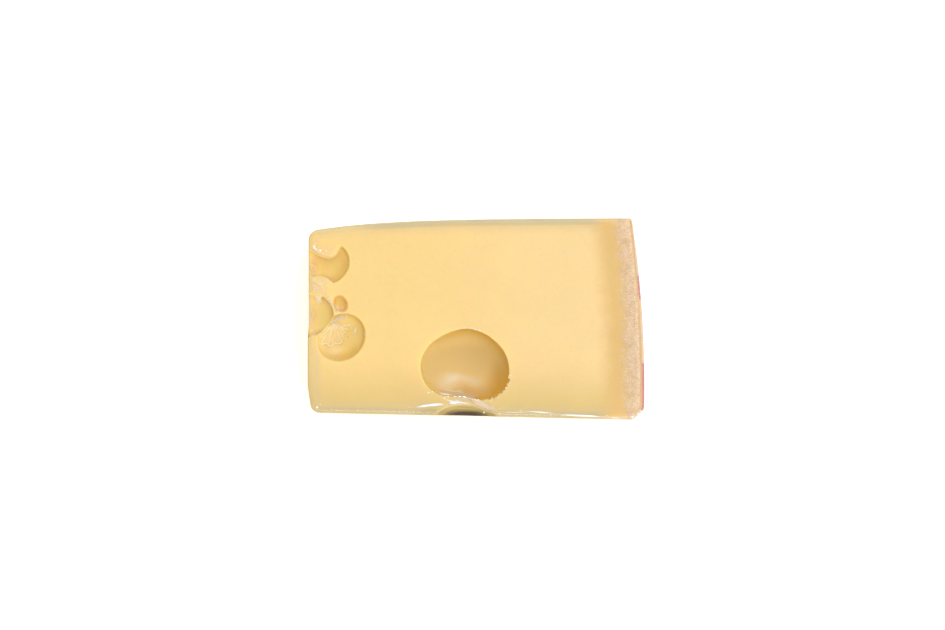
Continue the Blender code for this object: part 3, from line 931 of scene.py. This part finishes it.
def soft_grain(tree, slow_scale, fine_scale):
    """The grain group in a material, at its own two scales. Returns its outputs."""
    scales = {"Slow scale": slow_scale, "Fine scale": fine_scale}
    return add_node(tree, "ShaderNodeGroup", scales, node_tree=grain_group()).outputs


def new_material(name):
    """A material with nodes. Returns it, its tree and its Principled shader."""
    material = bpy.data.materials.new(name)
    material.use_nodes = True
    tree = material.node_tree
    return material, tree, tree.nodes["Principled BSDF"]


def rgba(colour):
    return (*colour, 1.0)


def shaded(tree, colour, value, amount):
    """A colour made lighter or darker: times 1 plus the value times the amount."""
    lightness = maths(tree, "MULTIPLY_ADD", value, amount, 1.0)
    grey = add_node(tree, "ShaderNodeCombineColor", {0: lightness, 1: lightness, 2: lightness})
    return mixed(tree, 1.0, colour, grey.outputs[0], "MULTIPLY")


def bumped(tree, height, strength, distance=0.0002):
    """The normal of a surface with fine relief."""
    sockets = {"Height": height, "Strength": strength, "Distance": distance}
    return add_node(tree, "ShaderNodeBump", sockets).outputs["Normal"]


def paste_material(colours):
    """Cheese: smooth pale paste, a golden band and a grainy rind, with painted shade at the edges and
    in the hollow, and painted light and shade deepening the gold in the eyes.
    """
    material, tree, shader = new_material("cheese paste")
    grain = soft_grain(tree, 45.0, 1100.0)
    place = object_place(tree)
    parts = add_node(tree, "ShaderNodeSeparateXYZ", {"Vector": place})
    eye = attribute(tree, "eye")
    from_rind = attribute(tree, "from_rind")
    edge = attribute(tree, "edge")

    to_right = ramp(tree, parts.outputs["X"], -0.030, 0.040)
    colour = mixed(tree, to_right, rgba(colours.paste), rgba(colours.paste_right))
    near = ramp(tree, parts.outputs["Y"], -0.012, -0.036, 0.0, 0.95)
    colour = mixed(tree, near, colour, rgba(colours.paste_near))
    # Painted shade towards the face's edges and on their rounding, by the rim mask
    rim = attribute(tree, "rim")
    colour = mixed(tree, rim, colour, rgba(colours.paste_edge_shade))
    colour = mixed(tree, ramp(tree, rim, 0.5, 1.0, 0.0, 0.65), colour, rgba(colours.paste_rim_shade))
    # Painted light and shade in the eyes: lighter paste in the small eyes, darker gold deeper in the
    # large eye, gold painted shade on the walls
    past_small_eyes = ramp(tree, parts.outputs["X"], -0.030, -0.024)
    floor = mixed(tree, past_small_eyes, rgba(colours.shallow), rgba(colours.eye))
    in_eye = mixed(tree, attribute(tree, "wall"), floor, rgba(colours.wall))
    colour = mixed(tree, ramp(tree, eye, 0.0004, 0.0030), colour, in_eye)
    wander = noise(tree, place, 170.0, 3.0, 0.6)
    wander = maths(tree, "MULTIPLY_ADD", wander, 0.0044, -0.0022)
    depth = maths(tree, "ADD", from_rind, wander)
    colour = mixed(tree, ramp(tree, depth, 0.0165, 0.0085), colour, rgba(colours.band))
    specks = noise(tree, place, 1700.0, 4.0, 0.75)
    bias = ramp(tree, depth, 0.0104, 0.0016, -0.15, 0.18)
    rind_share = ramp(tree, maths(tree, "ADD", specks, bias), 0.42, 0.64)
    patches = maths(tree, "MULTIPLY_ADD", noise(tree, place, 380.0, 2.0, 0.6), 0.5, -0.25)
    grains = maths(tree, "ADD", noise(tree, place, 2000.0, 4.0, 0.65), patches)
    grains = ramp(tree, grains, 0.32, 0.70)
    rind = mixed(tree, grains, rgba(colours.rind), rgba(colours.rind_grain))
    colour = mixed(tree, rind_share, colour, rind)
    colour = shaded(tree, colour, grain["Slow"], 0.10)
    colour = shaded(tree, colour, grain["Fine"], 0.05)

    # Painted shade: a thin brown line right at the outline
    colour = mixed(tree, ramp(tree, edge, 0.0, 0.0007, 0.75, 0.0), colour, rgba(colours.line))
    # Painted shade in the hollow in the near edge and at the left notch
    colour = mixed(tree, attribute(tree, "rings"), colour, rgba(colours.olive_shade))
    colour = mixed(tree, attribute(tree, "shade"), colour, rgba(colours.shade))
    skin_share = ramp(tree, from_rind, 0.0010, 0.0002)
    skin_tone = maths(tree, "SUBTRACT", noise(tree, place, 420.0, 5.0, 0.7), 0.5)
    skin = shaded(tree, rgba(colours.skin), skin_tone, 0.7)
    skin = mixed(tree, bars_mask(tree, place), skin, rgba(colours.bars))
    rind_height = maths(tree, "MULTIPLY", rind_share, specks)
    height = maths(tree, "MULTIPLY_ADD", rind_height, 3.0, grain["Height"])
    looks = {
        "Base Color": mixed(tree, skin_share, colour, skin),
        "Roughness": maths(tree, "MULTIPLY_ADD", rind_share, 0.18, 0.42),
        "Normal": bumped(tree, height, 0.25),
        "Subsurface Weight": 0.45,
        "Subsurface Radius": (1.0, 0.55, 0.18),
        "Subsurface Scale": 0.004,
        "Specular IOR Level": 0.06,
    }
    feed(tree, shader, looks)
    return material


def between(tree, value, low, high):
    """1 between low and high, fading to 0 at both."""
    rise = ramp(tree, value, low, low + BARS_FADE)
    return maths(tree, "MULTIPLY", rise, ramp(tree, value, high, high - BARS_FADE))


def bars_mask(tree, place):
    """Plain bars on the rind, worn at their edges: two along Y, clear of the rims."""
    parts = add_node(tree, "ShaderNodeSeparateXYZ", {"Vector": place})
    worn = maths(tree, "MULTIPLY_ADD", noise(tree, place, 900.0, 4.0, 0.7), 0.0012, -0.0006)
    along = maths(tree, "ADD", parts.outputs["Y"], worn)
    up = maths(tree, "ADD", parts.outputs["Z"], worn)
    first, second = (between(tree, along, *ends) for ends in BARS)
    bars = maths(tree, "MAXIMUM", first, second)
    return maths(tree, "MULTIPLY", bars, between(tree, up, *BARS_UP))


def film_material(name, colours):
    """Clear film: a thin mirror over what lies under it, stronger at a slant, milky where folded.

    The mirror is a metal with a low alpha, so that only its reflections show. Haze lies over it
    as a pale dull skin, and a painted highlight mask makes it white.
    """
    material, tree, shader = new_material(name)
    facing = add_node(tree, "ShaderNodeLayerWeight", {"Blend": 0.35}).outputs["Facing"]
    slant = maths(tree, "MULTIPLY_ADD", maths(tree, "POWER", facing, 3.0), 2.3, 1.0)
    mirror = maths(tree, "MULTIPLY", attribute(tree, "mirror"), slant)
    cover = maths(tree, "ADD", mirror, attribute(tree, "haze"), clamp=True)
    metal = maths(tree, "DIVIDE", mirror, maths(tree, "MAXIMUM", cover, 0.0001), clamp=True)
    # Painted highlight: a mask that turns the milky skin white
    skin = mixed(tree, attribute(tree, "gleam"), rgba(colours.haze), PAINTED_HIGHLIGHT_COLOUR)
    looks = {
        "Base Color": mixed(tree, metal, skin, rgba(colours.film)),
        "Alpha": cover,
        "Metallic": metal,
        "Roughness": maths(tree, "MULTIPLY_ADD", attribute(tree, "dull"), 0.42, 0.06),
        "Normal": bumped(tree, soft_grain(tree, 260.0, 700.0)["Height"], 0.10),
    }
    feed(tree, shader, looks)
    return material


def fan_material(colours):
    """Folded film over cheese: pale yellow petals, milky creases and a painted glint on the outer arc,
    half see-through.
    """
    material, tree, shader = new_material("pleated film")
    crease = attribute(tree, "crease")
    grain = soft_grain(tree, 500.0, 1500.0)
    milky = maths(tree, "MULTIPLY_ADD", grain["Slow"], 0.5, crease, clamp=True)
    looks = {
        "Base Color": mixed(tree, milky, rgba(colours.petal), rgba(colours.crease)),
        "Alpha": attribute(tree, "cover"),
        "Roughness": ramp(tree, milky, 0.0, 1.0, 0.22, 0.34),
        "Normal": bumped(tree, grain["Height"], 0.15),
    }
    feed(tree, shader, looks)
    return material


def crumb_material(colours):
    """Pale dry crumbs, lighter than the face they broke from."""
    material, tree, shader = new_material("crumb")
    grain = soft_grain(tree, 1500.0, 4000.0)
    pale = mixed(tree, 0.55, rgba(colours.paste), rgba(colours.crease))
    looks = {
        "Base Color": shaded(tree, pale, grain["Slow"], 0.3),
        "Roughness": 0.5,
        "Normal": bumped(tree, grain["Height"], 0.4, 0.0001),
    }
    feed(tree, shader, looks)
    return material


NO_TRIANGLES = np.zeros((0, 3), int)


def fan_surface(sizes):
    """The fan: a closed body whose top is pleated, each point's crease or painted glint, and its cover.

    A point lies at an angle and a reach from the pinched point. The height falls outwards, and
    over it stand rounded petals, the size of a cosine, with sharp valleys between them. The outer
    rows go down into the cheese, and the underside is one point deep in it.
    """
    columns, rows = FAN_PLEATS * PLEAT_COLUMNS, FAN_ROWS
    share = np.linspace(0, 1, columns + 1)
    out = np.linspace(0, 1, rows)[:, None]
    angle = FAN_FROM + (FAN_TO - FAN_FROM) * share
    reach = FAN_REACH_FROM + (FAN_REACH_TO - FAN_REACH_FROM) * share
    reach = reach + SCALLOP_DEPTH * (np.abs(np.sin(math.pi * FAN_SCALLOPS * share)) - 0.5)
    wander = 0.09 * random_waves(out * 0.011, share * 0.10 + 0 * out, 0.010, 31)
    petal = np.abs(np.cos(math.pi * (FAN_PLEATS * share + wander * 6)))
    fall = np.interp(share, (0, 0.45, 1), FAN_FALLS)
    height = FAN_TOP - fall * out + PLEAT_HEIGHT * (2 * petal**0.9 - 1.2) * np.sin(math.pi * out**0.8)
    distance = reach * np.maximum(out, 0.004)
    x = FAN_POINT[0] + distance * np.cos(angle)
    y = FAN_POINT[1] + distance * np.sin(angle)
    z = sizes.thickness + height
    crease = (1 - petal) ** 1.2 * (1 - 0.8 * smooth_step(out / 0.9))
    # Painted glint: a bright uneven arc along the fan's outer edge, in the crease mask
    uneven = 0.85 + 0.45 * random_waves(share * 0.05, 0 * share, 0.0035, 33)
    arc = smooth_step((out - 0.90) / 0.06) * uneven * smooth_step((0.80 - share) / 0.25)
    crease = np.clip(np.maximum(crease, arc), 0, 1)
    crease = np.maximum(crease, 0.75 * smooth_step((0.42 - out) / 0.38))
    far_corner = smooth_step((out - 0.7) / 0.3) * smooth_step((share - 0.6) / 0.3)
    cover = (0.42 + 0.50 * crease) * (1 - 0.6 * far_corner)
    deep = sizes.thickness + FAN_ROOT
    rim_x, rim_y, rim_z = x[-1], y[-1], z[-1]
    for part in FAN_SKIRT_ROWS:
        spread = 1 + FAN_SKIRT * part
        x = np.vstack([x, FAN_POINT[0] + (rim_x - FAN_POINT[0]) * spread])
        y = np.vstack([y, FAN_POINT[1] + (rim_y - FAN_POINT[1]) * spread])
        z = np.vstack([z, rim_z * (1 - part) + deep * part])
        crease = np.vstack([crease, 0.3 * (1 - part) + 0 * rim_z])
        cover = np.vstack([cover, cover[rows - 1] * 0.5 * (1 - part) ** 5])
    top = np.stack([x, y, z], axis=-1)
    under = top.copy()
    under[..., 2] = deep - 0.0004 * (1 - np.linspace(0, 1, len(z))[:, None])
    points = np.concatenate([top.reshape(-1, 3), under.reshape(-1, 3)])
    numbers = np.arange(top.shape[0] * top.shape[1]).reshape(top.shape[:2])
    below = numbers + numbers.size
    quads = [grid_faces(numbers)[:, ::-1], grid_faces(below)]
    ring = np.concatenate([numbers[0, :-1], numbers[:-1, -1], numbers[-1, :0:-1], numbers[:0:-1, 0]])
    after = np.roll(ring, -1)
    quads.append(np.column_stack([ring, after, after + numbers.size, ring + numbers.size]))
    hidden = np.zeros(numbers.size)
    masks = {
        "crease": np.concatenate([crease.ravel(), hidden]),
        "cover": np.concatenate([cover.ravel(), hidden]),
    }
    return points, np.concatenate(quads), masks


def curve_through(path, count):
    """A smooth curve through the path's points: the polynomial of their distance along it."""
    points = np.array(path) * MM
    along = np.append(0, np.cumsum(np.linalg.norm(np.diff(points, axis=0), axis=1)))
    along /= along[-1]
    even = np.linspace(0, 1, count)
    return [np.polyval(np.polyfit(along, points[:, axis], len(path) - 1), even) for axis in (0, 1)]


def fold_surface(fold, sizes, drops=None):
    """One fold: a low ridge along a smooth curve, on the film or at its own drops below the face.

    Across, its height is one minus the square of the distance from its middle. Along, its width
    and height grow from nothing and shrink again, by the root of a sine.
    """
    count, across = FOLD_ROWS, np.array(FOLD_TOP + FOLD_UNDER)
    over = np.where(np.arange(len(across)) < len(FOLD_TOP), 1 - across**2, FOLD_UNDER_HEIGHT)
    x, y = curve_through(fold.path, count)
    ahead = np.hypot(np.gradient(x), np.gradient(y))
    to_side = (-np.gradient(y) / ahead, np.gradient(x) / ahead)
    swell = np.sqrt(np.sin(math.pi * np.linspace(0.004, 0.996, count)))[:, None]
    beside = np.full(count, fold.path[0][0])
    wave = 1 + 0.25 * random_waves(np.linspace(0, 0.02, count), beside, 0.003, 41)
    reach = fold.half_width * MM * swell * wave[:, None] * across
    side_x, side_y = x[:, None] + reach * to_side[0][:, None], y[:, None] + reach * to_side[1][:, None]
    if drops:
        middle = np.polyval(np.polyfit((0, 0.5, 1), drops, 2), np.linspace(0, 1, count))
        lying = sizes.thickness - middle[:, None] + 0 * side_x
    else:
        lying = film_top(side_x, side_y, sizes)
    z = lying + fold.height * MM * swell * over
    masks = {
        "haze": fold.haze * smooth_step(over * 1.6) * swell,
        "gleam": fold.gleam + 0 * z,
        "dull": 0.5 + 0 * z,
    }
    return np.stack([side_x, side_y, z], axis=-1), masks


def lump_surface(place, size, height_share, roughness, seed, sizes):
    """One lump: a flattened ball on the film, with random waves on its radius."""
    up = np.linspace(0.03, math.pi - 0.03, 9)[:, None]
    round_it = np.linspace(0, 2 * math.pi, 14, endpoint=False)
    wave = random_waves(np.cos(round_it) * 2 + 3, np.sin(round_it) * 2 + up + 3, 1.0, 50 + seed)
    radius = size * MM * (1 + roughness * wave)
    x = place[0] * MM + radius * np.sin(up) * np.cos(round_it)
    y = place[1] * MM + radius * np.sin(up) * np.sin(round_it)
    middle = film_top(np.array([place[0] * MM]), np.array([place[1] * MM]), sizes)
    z = middle + radius * height_share * np.cos(up) + 0 * round_it
    # Fully milky and white: on gathers this is a painted glint; crumbs don't read these masks
    masks = {"haze": 1.0 + 0 * z, "gleam": 1.0 + 0 * z, "dull": 0 * z}
    return np.stack([x, y, z], axis=-1)[::-1], masks


def rim_crumbs():
    """Places and half widths of the crumbs just outside the large eye's rim, drawn at random."""
    draw = np.random.default_rng(71)
    crumbs = []
    for low, high, count, widths in RIM_CRUMBS:
        x, y = large_eye_rim(np.radians(draw.uniform(low, high, count)))
        outside = 1 + draw.uniform(0.008, 0.032, count)
        x, y = (LARGE_EYE.x + x * outside) / MM, (LARGE_EYE.y + y * outside) / MM
        crumbs += zip(zip(x, y), draw.uniform(*widths, count))
    return tuple(crumbs)


def joined_piece(name, parts, material):
    """One piece from many closed tubes, each a grid that wraps round and is capped at both ends."""
    points, quads, triangles, masks, first = [], [], [], {}, 0
    for grid, part_masks in parts:
        rows, columns = grid.shape[:2]
        numbers = first + np.arange(rows * columns).reshape(rows, columns)
        quads.append(grid_faces(np.column_stack([numbers, numbers[:, 0]])))
        ends = first + rows * columns + np.arange(2)
        for end, row in zip(ends, (numbers[0], numbers[-1][::-1])):
            triangles.append(np.column_stack([row, np.full(columns, end), np.roll(row, -1)]))
        points += [grid.reshape(-1, 3), grid[0].mean(0)[None], grid[-1].mean(0)[None]]
        for key, values in part_masks.items():
            ended = np.concatenate([values.ravel(), values[0, :1], values[-1, :1]])
            masks.setdefault(key, []).append(ended)
        first += rows * columns + 2
    masks = {key: np.concatenate(values) for key, values in masks.items()}
    return mesh_piece(
        name, np.concatenate(points), np.concatenate(quads), np.concatenate(triangles), material, masks
    )


def in_the_open(points, share, sizes):
    """1 on the face and down the hollow in the near edge, 0 on the side further down."""
    dip = EDGE_HOLLOW.deep * np.sqrt(np.clip(1 - share**2, 0, 1))
    return smooth_step((points[:, 2] - sizes.thickness + dip + 0.0036) / 0.0024)


def hollow_shade(points, sizes):
    """Painted shade in the hollow in the near edge, from its rim inwards and darkest at the outline, and
    at the left notch.
    """
    share = oval_share(points[:, 0], points[:, 1], EDGE_HOLLOW)
    out = points[:, 1] - near_edge(points[:, 0], sizes)
    below = in_the_open(points, share, sizes)
    notch = smooth_step(1.4 - 1.4 * oval_share(points[:, 0], points[:, 1], LEFT_NOTCH))
    shade = smooth_step((1 - share) / 0.55) * smooth_step((0.0029 - out) / 0.0018)
    return np.maximum(shade, 0.6 * notch) * below


def hollow_ring_shade(points, sizes):
    """Painted shade as olive rings in the hollow in the near edge, by a sine of the way in from its rim,
    and on the slope beside it.
    """
    share = oval_share(points[:, 0], points[:, 1], EDGE_HOLLOW)
    uneven = 0.10 * random_waves(points[:, 0], points[:, 1], 0.004, 61)
    rings = 0.70 + 0.24 * np.sin(2 * math.pi * (share + uneven) * 5)
    inside = smooth_step((1.10 - share) / 0.20)
    on_face = in_the_open(points, share, sizes)
    slope = 0.42 * smooth_step(1.3 - 1.3 * oval_share(points[:, 0], points[:, 1], SLOPE_SHADE))
    return np.maximum(rings * inside, slope) * on_face


def edge_shade_share(points, edge):
    """How much painted shade greys the face: most along its far and near edges, less at the left, some
    on bulges.
    """
    x, y = points[:, 0], points[:, 1]
    at_left = smooth_step((-0.0565 - x) / 0.0030)
    towards_left = smooth_step((-0.030 - x) / 0.020) * (y > 0)
    tint = (1 - smooth_step(edge / 0.0062)) * (1 - 0.75 * at_left) * (1 - 0.35 * towards_left)
    into_eye = -np.min([rim_gap(x, y, eye) for eye in BULGE_EYES], axis=0)
    bulging = np.min([oval_share(x, y, bulge) for bulge in BULGES], axis=0) < 1.02
    on_bulge = np.where(y < BRIDGE.y + BRIDGE.short, 0.50, 0.24)
    return np.maximum(tint, on_bulge * smooth_step(into_eye / 0.0040) * bulging)


def painted_wall_shade(points, quads, triangles, depth):
    """How much painted shade turns an eye's walls gold: by steepness, less where lit, not by a bulge.

    The lit walls are those at the eye's left, whose normals point along LIT_WALL.
    """
    normal = point_normals(points, quads, triangles)
    level = np.maximum(np.hypot(normal[:, 0], normal[:, 1]), 1e-9)
    lit = (normal[:, 0] * math.cos(LIT_WALL) + normal[:, 1] * math.sin(LIT_WALL)) / level
    steep = smooth_step((0.85 - normal[:, 2]) / 0.6) * smooth_step(depth / 0.001)
    beside = np.min([oval_share(points[:, 0], points[:, 1], bulge) for bulge in BULGES], axis=0)
    wall = steep * (1 - 0.8 * smooth_step((lit + 0.3) / 1.2)) * smooth_step((beside - 1.04) / 0.20)
    # More painted shade on each eye's unlit side
    for eye, direction, strength in UNLIT_WALLS:
        from_x, from_y = points[:, 0] - eye.x, points[:, 1] - eye.y
        away = np.cos(np.arctan2(from_y, from_x) - direction)
        share = oval_share(points[:, 0], points[:, 1], eye)
        share = share / large_eye_lobe(from_x, from_y) if eye is LARGE_EYE else share
        unlit = smooth_step((share - 0.45) / 0.40) * smooth_step((away - 0.30) / 0.60)
        wall = np.maximum(wall, strength * unlit * (depth > 0.001) * (share < 1.04))
    return wall


def film_haze(points, sizes):
    """Milky film: in the haze spots, over the bridge, and where the lip turns down."""
    x, y = points[:, 0], points[:, 1]
    on_face = smooth_step((points[:, 2] - sizes.thickness + 0.012) / 0.003)
    haze = np.zeros(len(points))
    for (at_x, at_y, long, short, turn), strength in HAZE_SPOTS:
        spot = Oval(at_x * MM, at_y * MM, 0, long * MM, short * MM, 0, turn)
        haze += strength * smooth_step(1 - oval_share(x, y, spot)) * on_face
    lip_share = oval_share(x, y, LIP)
    turned_down = smooth_step((lip_share - 0.78) / 0.16) * (lip_share < 1.01)
    turned_down *= smooth_step((-0.0505 - x) / 0.0035)
    return haze + 0.22 * turned_down * (oval_share(x, y, UPPER_EYE) < 0.98) * on_face


def dress(piece, shadow=True):
    """Ties a finished piece to the slab's body, with or without a shadow."""
    piece.visible_shadow = shadow
    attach(piece, BODY)
    return piece


def from_rind_edge(points):
    """How far inside the rind's outer face each point lies."""
    return rind_edge(points[:, 1]) - points[:, 0]


class MakeCheese(bpy.types.Operator):
    """Makes the slab of cheese with its eyes and rind."""

    bl_idname = "cheese.make_cheese"
    bl_label = "Cheese"

    def execute(self, context):
        sizes, colours = context.scene.cheese_sizes, context.scene.cheese_colours
        points, quads, triangles, edge, depth = closed_slab(sizes, cheese_bowl(), CHEESE_FIT, 1.0)
        slant = sizes.rind_slant * (1 - points[:, 2] / sizes.thickness)
        masks = {
            "edge": edge,
            "rim": edge_shade_share(points, edge),
            "eye": depth,
            "from_rind": from_rind_edge(points) + slant,
            "wall": painted_wall_shade(points, quads, triangles, depth),
            "shade": hollow_shade(points, sizes),
            "rings": hollow_ring_shade(points, sizes),
        }
        piece = mesh_piece("cheese_slab", points, quads, triangles, paste_material(colours), masks)
        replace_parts(dress(piece), NODE)
        return {"FINISHED"}


class MakeFilm(bpy.types.Operator):
    """Shrinks the clear film onto the slab."""

    bl_idname = "cheese.make_film"
    bl_label = "Film"

    def execute(self, context):
        sizes, colours = context.scene.cheese_sizes, context.scene.cheese_colours
        points, quads, triangles, _, depth = closed_slab(
            sizes, film_bowl(), FILM_FIT, 0.9, sizes.film_gap
        )
        x, y = points[:, 0], points[:, 1]
        in_eye = smooth_step(depth / 0.0008)
        near_face = smooth_step((points[:, 2] - sizes.thickness + 0.012) / 0.006)
        small_eyes = smooth_step((-0.030 - x) / 0.006) * np.maximum(in_eye, eyes_gap(x, y) < 0.0008)
        small_eyes = small_eyes * near_face
        hollow_share = oval_share(x, y, EDGE_HOLLOW)
        hollow = smooth_step((1.15 - hollow_share) / 0.25) * in_the_open(points, hollow_share, sizes)
        large_share = oval_share(x, y, LARGE_EYE)
        at_rim = smooth_step((large_share - 0.90) / 0.06) * smooth_step((1.12 - large_share) / 0.04)
        far = smooth_step((y - far_edge(x, sizes) + 0.0045) / 0.0020) * near_face
        bridge = smooth_step((1.35 - oval_share(x, y, BRIDGE)) / 0.25) * near_face
        unshiny = np.max([far, hollow, small_eyes, at_rim, bridge], axis=0)
        masks = {
            "haze": film_haze(points, sizes),
            "gleam": np.zeros(len(points)),
            "dull": np.max([in_eye, far, bridge], axis=0),
            "mirror": sizes.film_mirror * (1 - UNSHINY_SHARE * unshiny),
        }
        material = film_material("clear film", colours)
        piece = mesh_piece("film_wrap", points, quads, triangles, material, masks)
        dress(piece)
        return {"FINISHED"}


class MakeFan(bpy.types.Operator):
    """Makes the fan of folded film in one eye."""

    bl_idname = "cheese.make_fan"
    bl_label = "Fan of folds"

    def execute(self, context):
        sizes, colours = context.scene.cheese_sizes, context.scene.cheese_colours
        points, quads, masks = fan_surface(sizes)
        piece = mesh_piece("film_fan", points, quads, NO_TRIANGLES, fan_material(colours), masks)
        dress(piece, shadow=False)
        return {"FINISHED"}


class MakeFolds(bpy.types.Operator):
    """Lays the folds of the film, which catch the light."""

    bl_idname = "cheese.make_folds"
    bl_label = "Folds"

    def execute(self, context):
        sizes, colours = context.scene.cheese_sizes, context.scene.cheese_colours
        material = film_material("folded film", colours)
        folds = [fold_surface(fold, sizes) for fold in FOLDS]
        folds.append(fold_surface(FLAKE, sizes, FLAKE_DROPS))
        piece = joined_piece("film_folds", folds, material)
        dress(piece, shadow=False)
        return {"FINISHED"}


class MakeBeads(bpy.types.Operator):
    """Sets tiny gathers of film, painted white as glints, on its corners and folds."""

    bl_idname = "cheese.make_beads"
    bl_label = "Gathers"

    def execute(self, context):
        sizes, colours = context.scene.cheese_sizes, context.scene.cheese_colours
        beads = enumerate(GLINT_BEADS)
        lumps = [lump_surface(place, size, *GLINT_BEAD_FORM, seed, sizes) for seed, (place, size) in beads]
        piece = joined_piece("film_gathers", lumps, film_material("gathered film", colours))
        dress(piece, shadow=False)
        return {"FINISHED"}


class MakeCrumbs(bpy.types.Operator):
    """Sets crumbs of cheese on the rims."""

    bl_idname = "cheese.make_crumbs"
    bl_label = "Crumbs"

    def execute(self, context):
        sizes, colours = context.scene.cheese_sizes, context.scene.cheese_colours
        crumbs = enumerate(CRUMBS + rim_crumbs())
        lumps = [lump_surface(place, size, *CRUMB_FORM, seed, sizes) for seed, (place, size) in crumbs]
        piece = joined_piece("crumbs", lumps, crumb_material(colours))
        dress(piece)
        return {"FINISHED"}


class MakeStage(bpy.types.Operator):
    """Sets the floor, the lights and the camera."""

    bl_idname = "cheese.make_stage"
    bl_label = "Stage"

    def execute(self, context):
        scene = context.scene
        stage, colours = scene.cheese_stage, scene.cheese_colours
        scene.view_settings.view_transform = "Standard"
        self.make_floor(colours)
        self.make_world(scene, stage.fill)
        for lamp in LAMPS:
            self.make_lamp(scene, stage, *lamp)
        self.make_camera(scene, stage)
        return {"FINISHED"}

    def make_floor(self, colours):
        material, tree, shader = new_material("floor")
        tone = maths(tree, "SUBTRACT", noise(tree, object_place(tree), 30.0), 0.5)
        looks = {
            "Base Color": shaded(tree, rgba(colours.floor), tone, 0.01),
            "Roughness": 0.6,
            "Emission Color": (0.90, 0.95, 1.0, 1),
            "Emission Strength": 0.34,
        }
        feed(tree, shader, looks)
        line = np.linspace(-FLOOR_HALF, FLOOR_HALF, FLOOR_LINES)
        x, y = np.meshgrid(line, line)
        points = np.stack([x, y, np.full(x.shape, -FLOOR_DROP)], axis=-1).reshape(-1, 3)
        quads = grid_faces(np.arange(x.size).reshape(x.shape))
        mesh_piece("floor", points, quads, NO_TRIANGLES, material)

    def make_world(self, scene, fill):
        world = bpy.data.worlds.new("soft room")
        world.use_nodes = True
        sky = world.node_tree.nodes["Background"]
        sky.inputs["Color"].default_value = (1.0, 0.99, 0.97, 1)
        sky.inputs["Strength"].default_value = fill
        scene.world = world

    def make_lamp(self, scene, stage, name, setting, sides, place):
        """A soft lamp that faces the middle of the slab's face."""
        light = bpy.data.lights.new(name, "AREA")
        light.shape = "RECTANGLE"
        light.size, light.size_y = sides
        light.energy = getattr(stage, setting)
        lamp = bpy.data.objects.new(name, light)
        lamp.location = Vector(place) + Vector((0, 0, scene.cheese_sizes.thickness))
        lamp.rotation_euler = (-Vector(place)).to_track_quat("-Z", "Y").to_euler()
        lamp.visible_glossy = name not in UNREFLECTED_LAMPS
        if name == "glow":
            lamp.visible_diffuse = False
            light.color = GLOW_COLOUR
        scene.collection.objects.link(lamp)

    def make_camera(self, scene, stage):
        """The photo looks straight down, a little beside the slab's origin."""
        camera = bpy.data.cameras.new("camera")
        camera.sensor_width = 36.0
        camera.lens = camera.sensor_width * stage.camera_height / (PHOTO_WIDTH * stage.photo_scale)
        camera.clip_end = 20.0
        eye = bpy.data.objects.new("camera", camera)
        eye.location = (
            (MIDDLE_PIXEL[0] - ORIGIN_PIXEL[0]) * stage.photo_scale,
            (ORIGIN_PIXEL[1] - MIDDLE_PIXEL[1]) * stage.photo_scale,
            scene.cheese_sizes.thickness + stage.camera_height,
        )
        scene.collection.objects.link(eye)
        scene.camera = eye


class CheesePanel(bpy.types.Panel):
    """Lists the sizes, the colours and the pieces."""

    bl_idname = "VIEW3D_PT_cheese"
    bl_label = "Cheese"
    bl_space_type = "VIEW_3D"
    bl_region_type = "UI"
    bl_category = "Cheese"

    def draw(self, context):
        scene = context.scene
        for settings in (scene.cheese_sizes, scene.cheese_colours, scene.cheese_stage):
            box = self.layout.box()
            for name in settings.__annotations__:
                box.prop(settings, name)
        for operator in OPERATORS:
            self.layout.operator(operator.bl_idname)


OPERATORS = (MakeCheese, MakeFilm, MakeFan, MakeFolds, MakeBeads, MakeCrumbs, MakeStage)
GROUPS = {"cheese_sizes": CheeseSizes, "cheese_colours": CheeseColours, "cheese_stage": StageSettings}


def register():
    for made in (*GROUPS.values(), *OPERATORS, CheesePanel):
        bpy.utils.register_class(made)
    for name, group in GROUPS.items():
        setattr(bpy.types.Scene, name, PointerProperty(type=group))


def unregister():
    for name in GROUPS:
        delattr(bpy.types.Scene, name)
    for made in (CheesePanel, *reversed(OPERATORS), *GROUPS.values()):
        bpy.utils.unregister_class(made)


def main():
    register()
    bpy.ops.cheese.make_cheese()
    bpy.ops.cheese.make_film()
    bpy.ops.cheese.make_fan()
    bpy.ops.cheese.make_folds()
    bpy.ops.cheese.make_beads()
    bpy.ops.cheese.make_crumbs()
    bpy.ops.cheese.make_stage()
    bpy.context.view_layer.update()


if __name__ == "__main__":
    main()
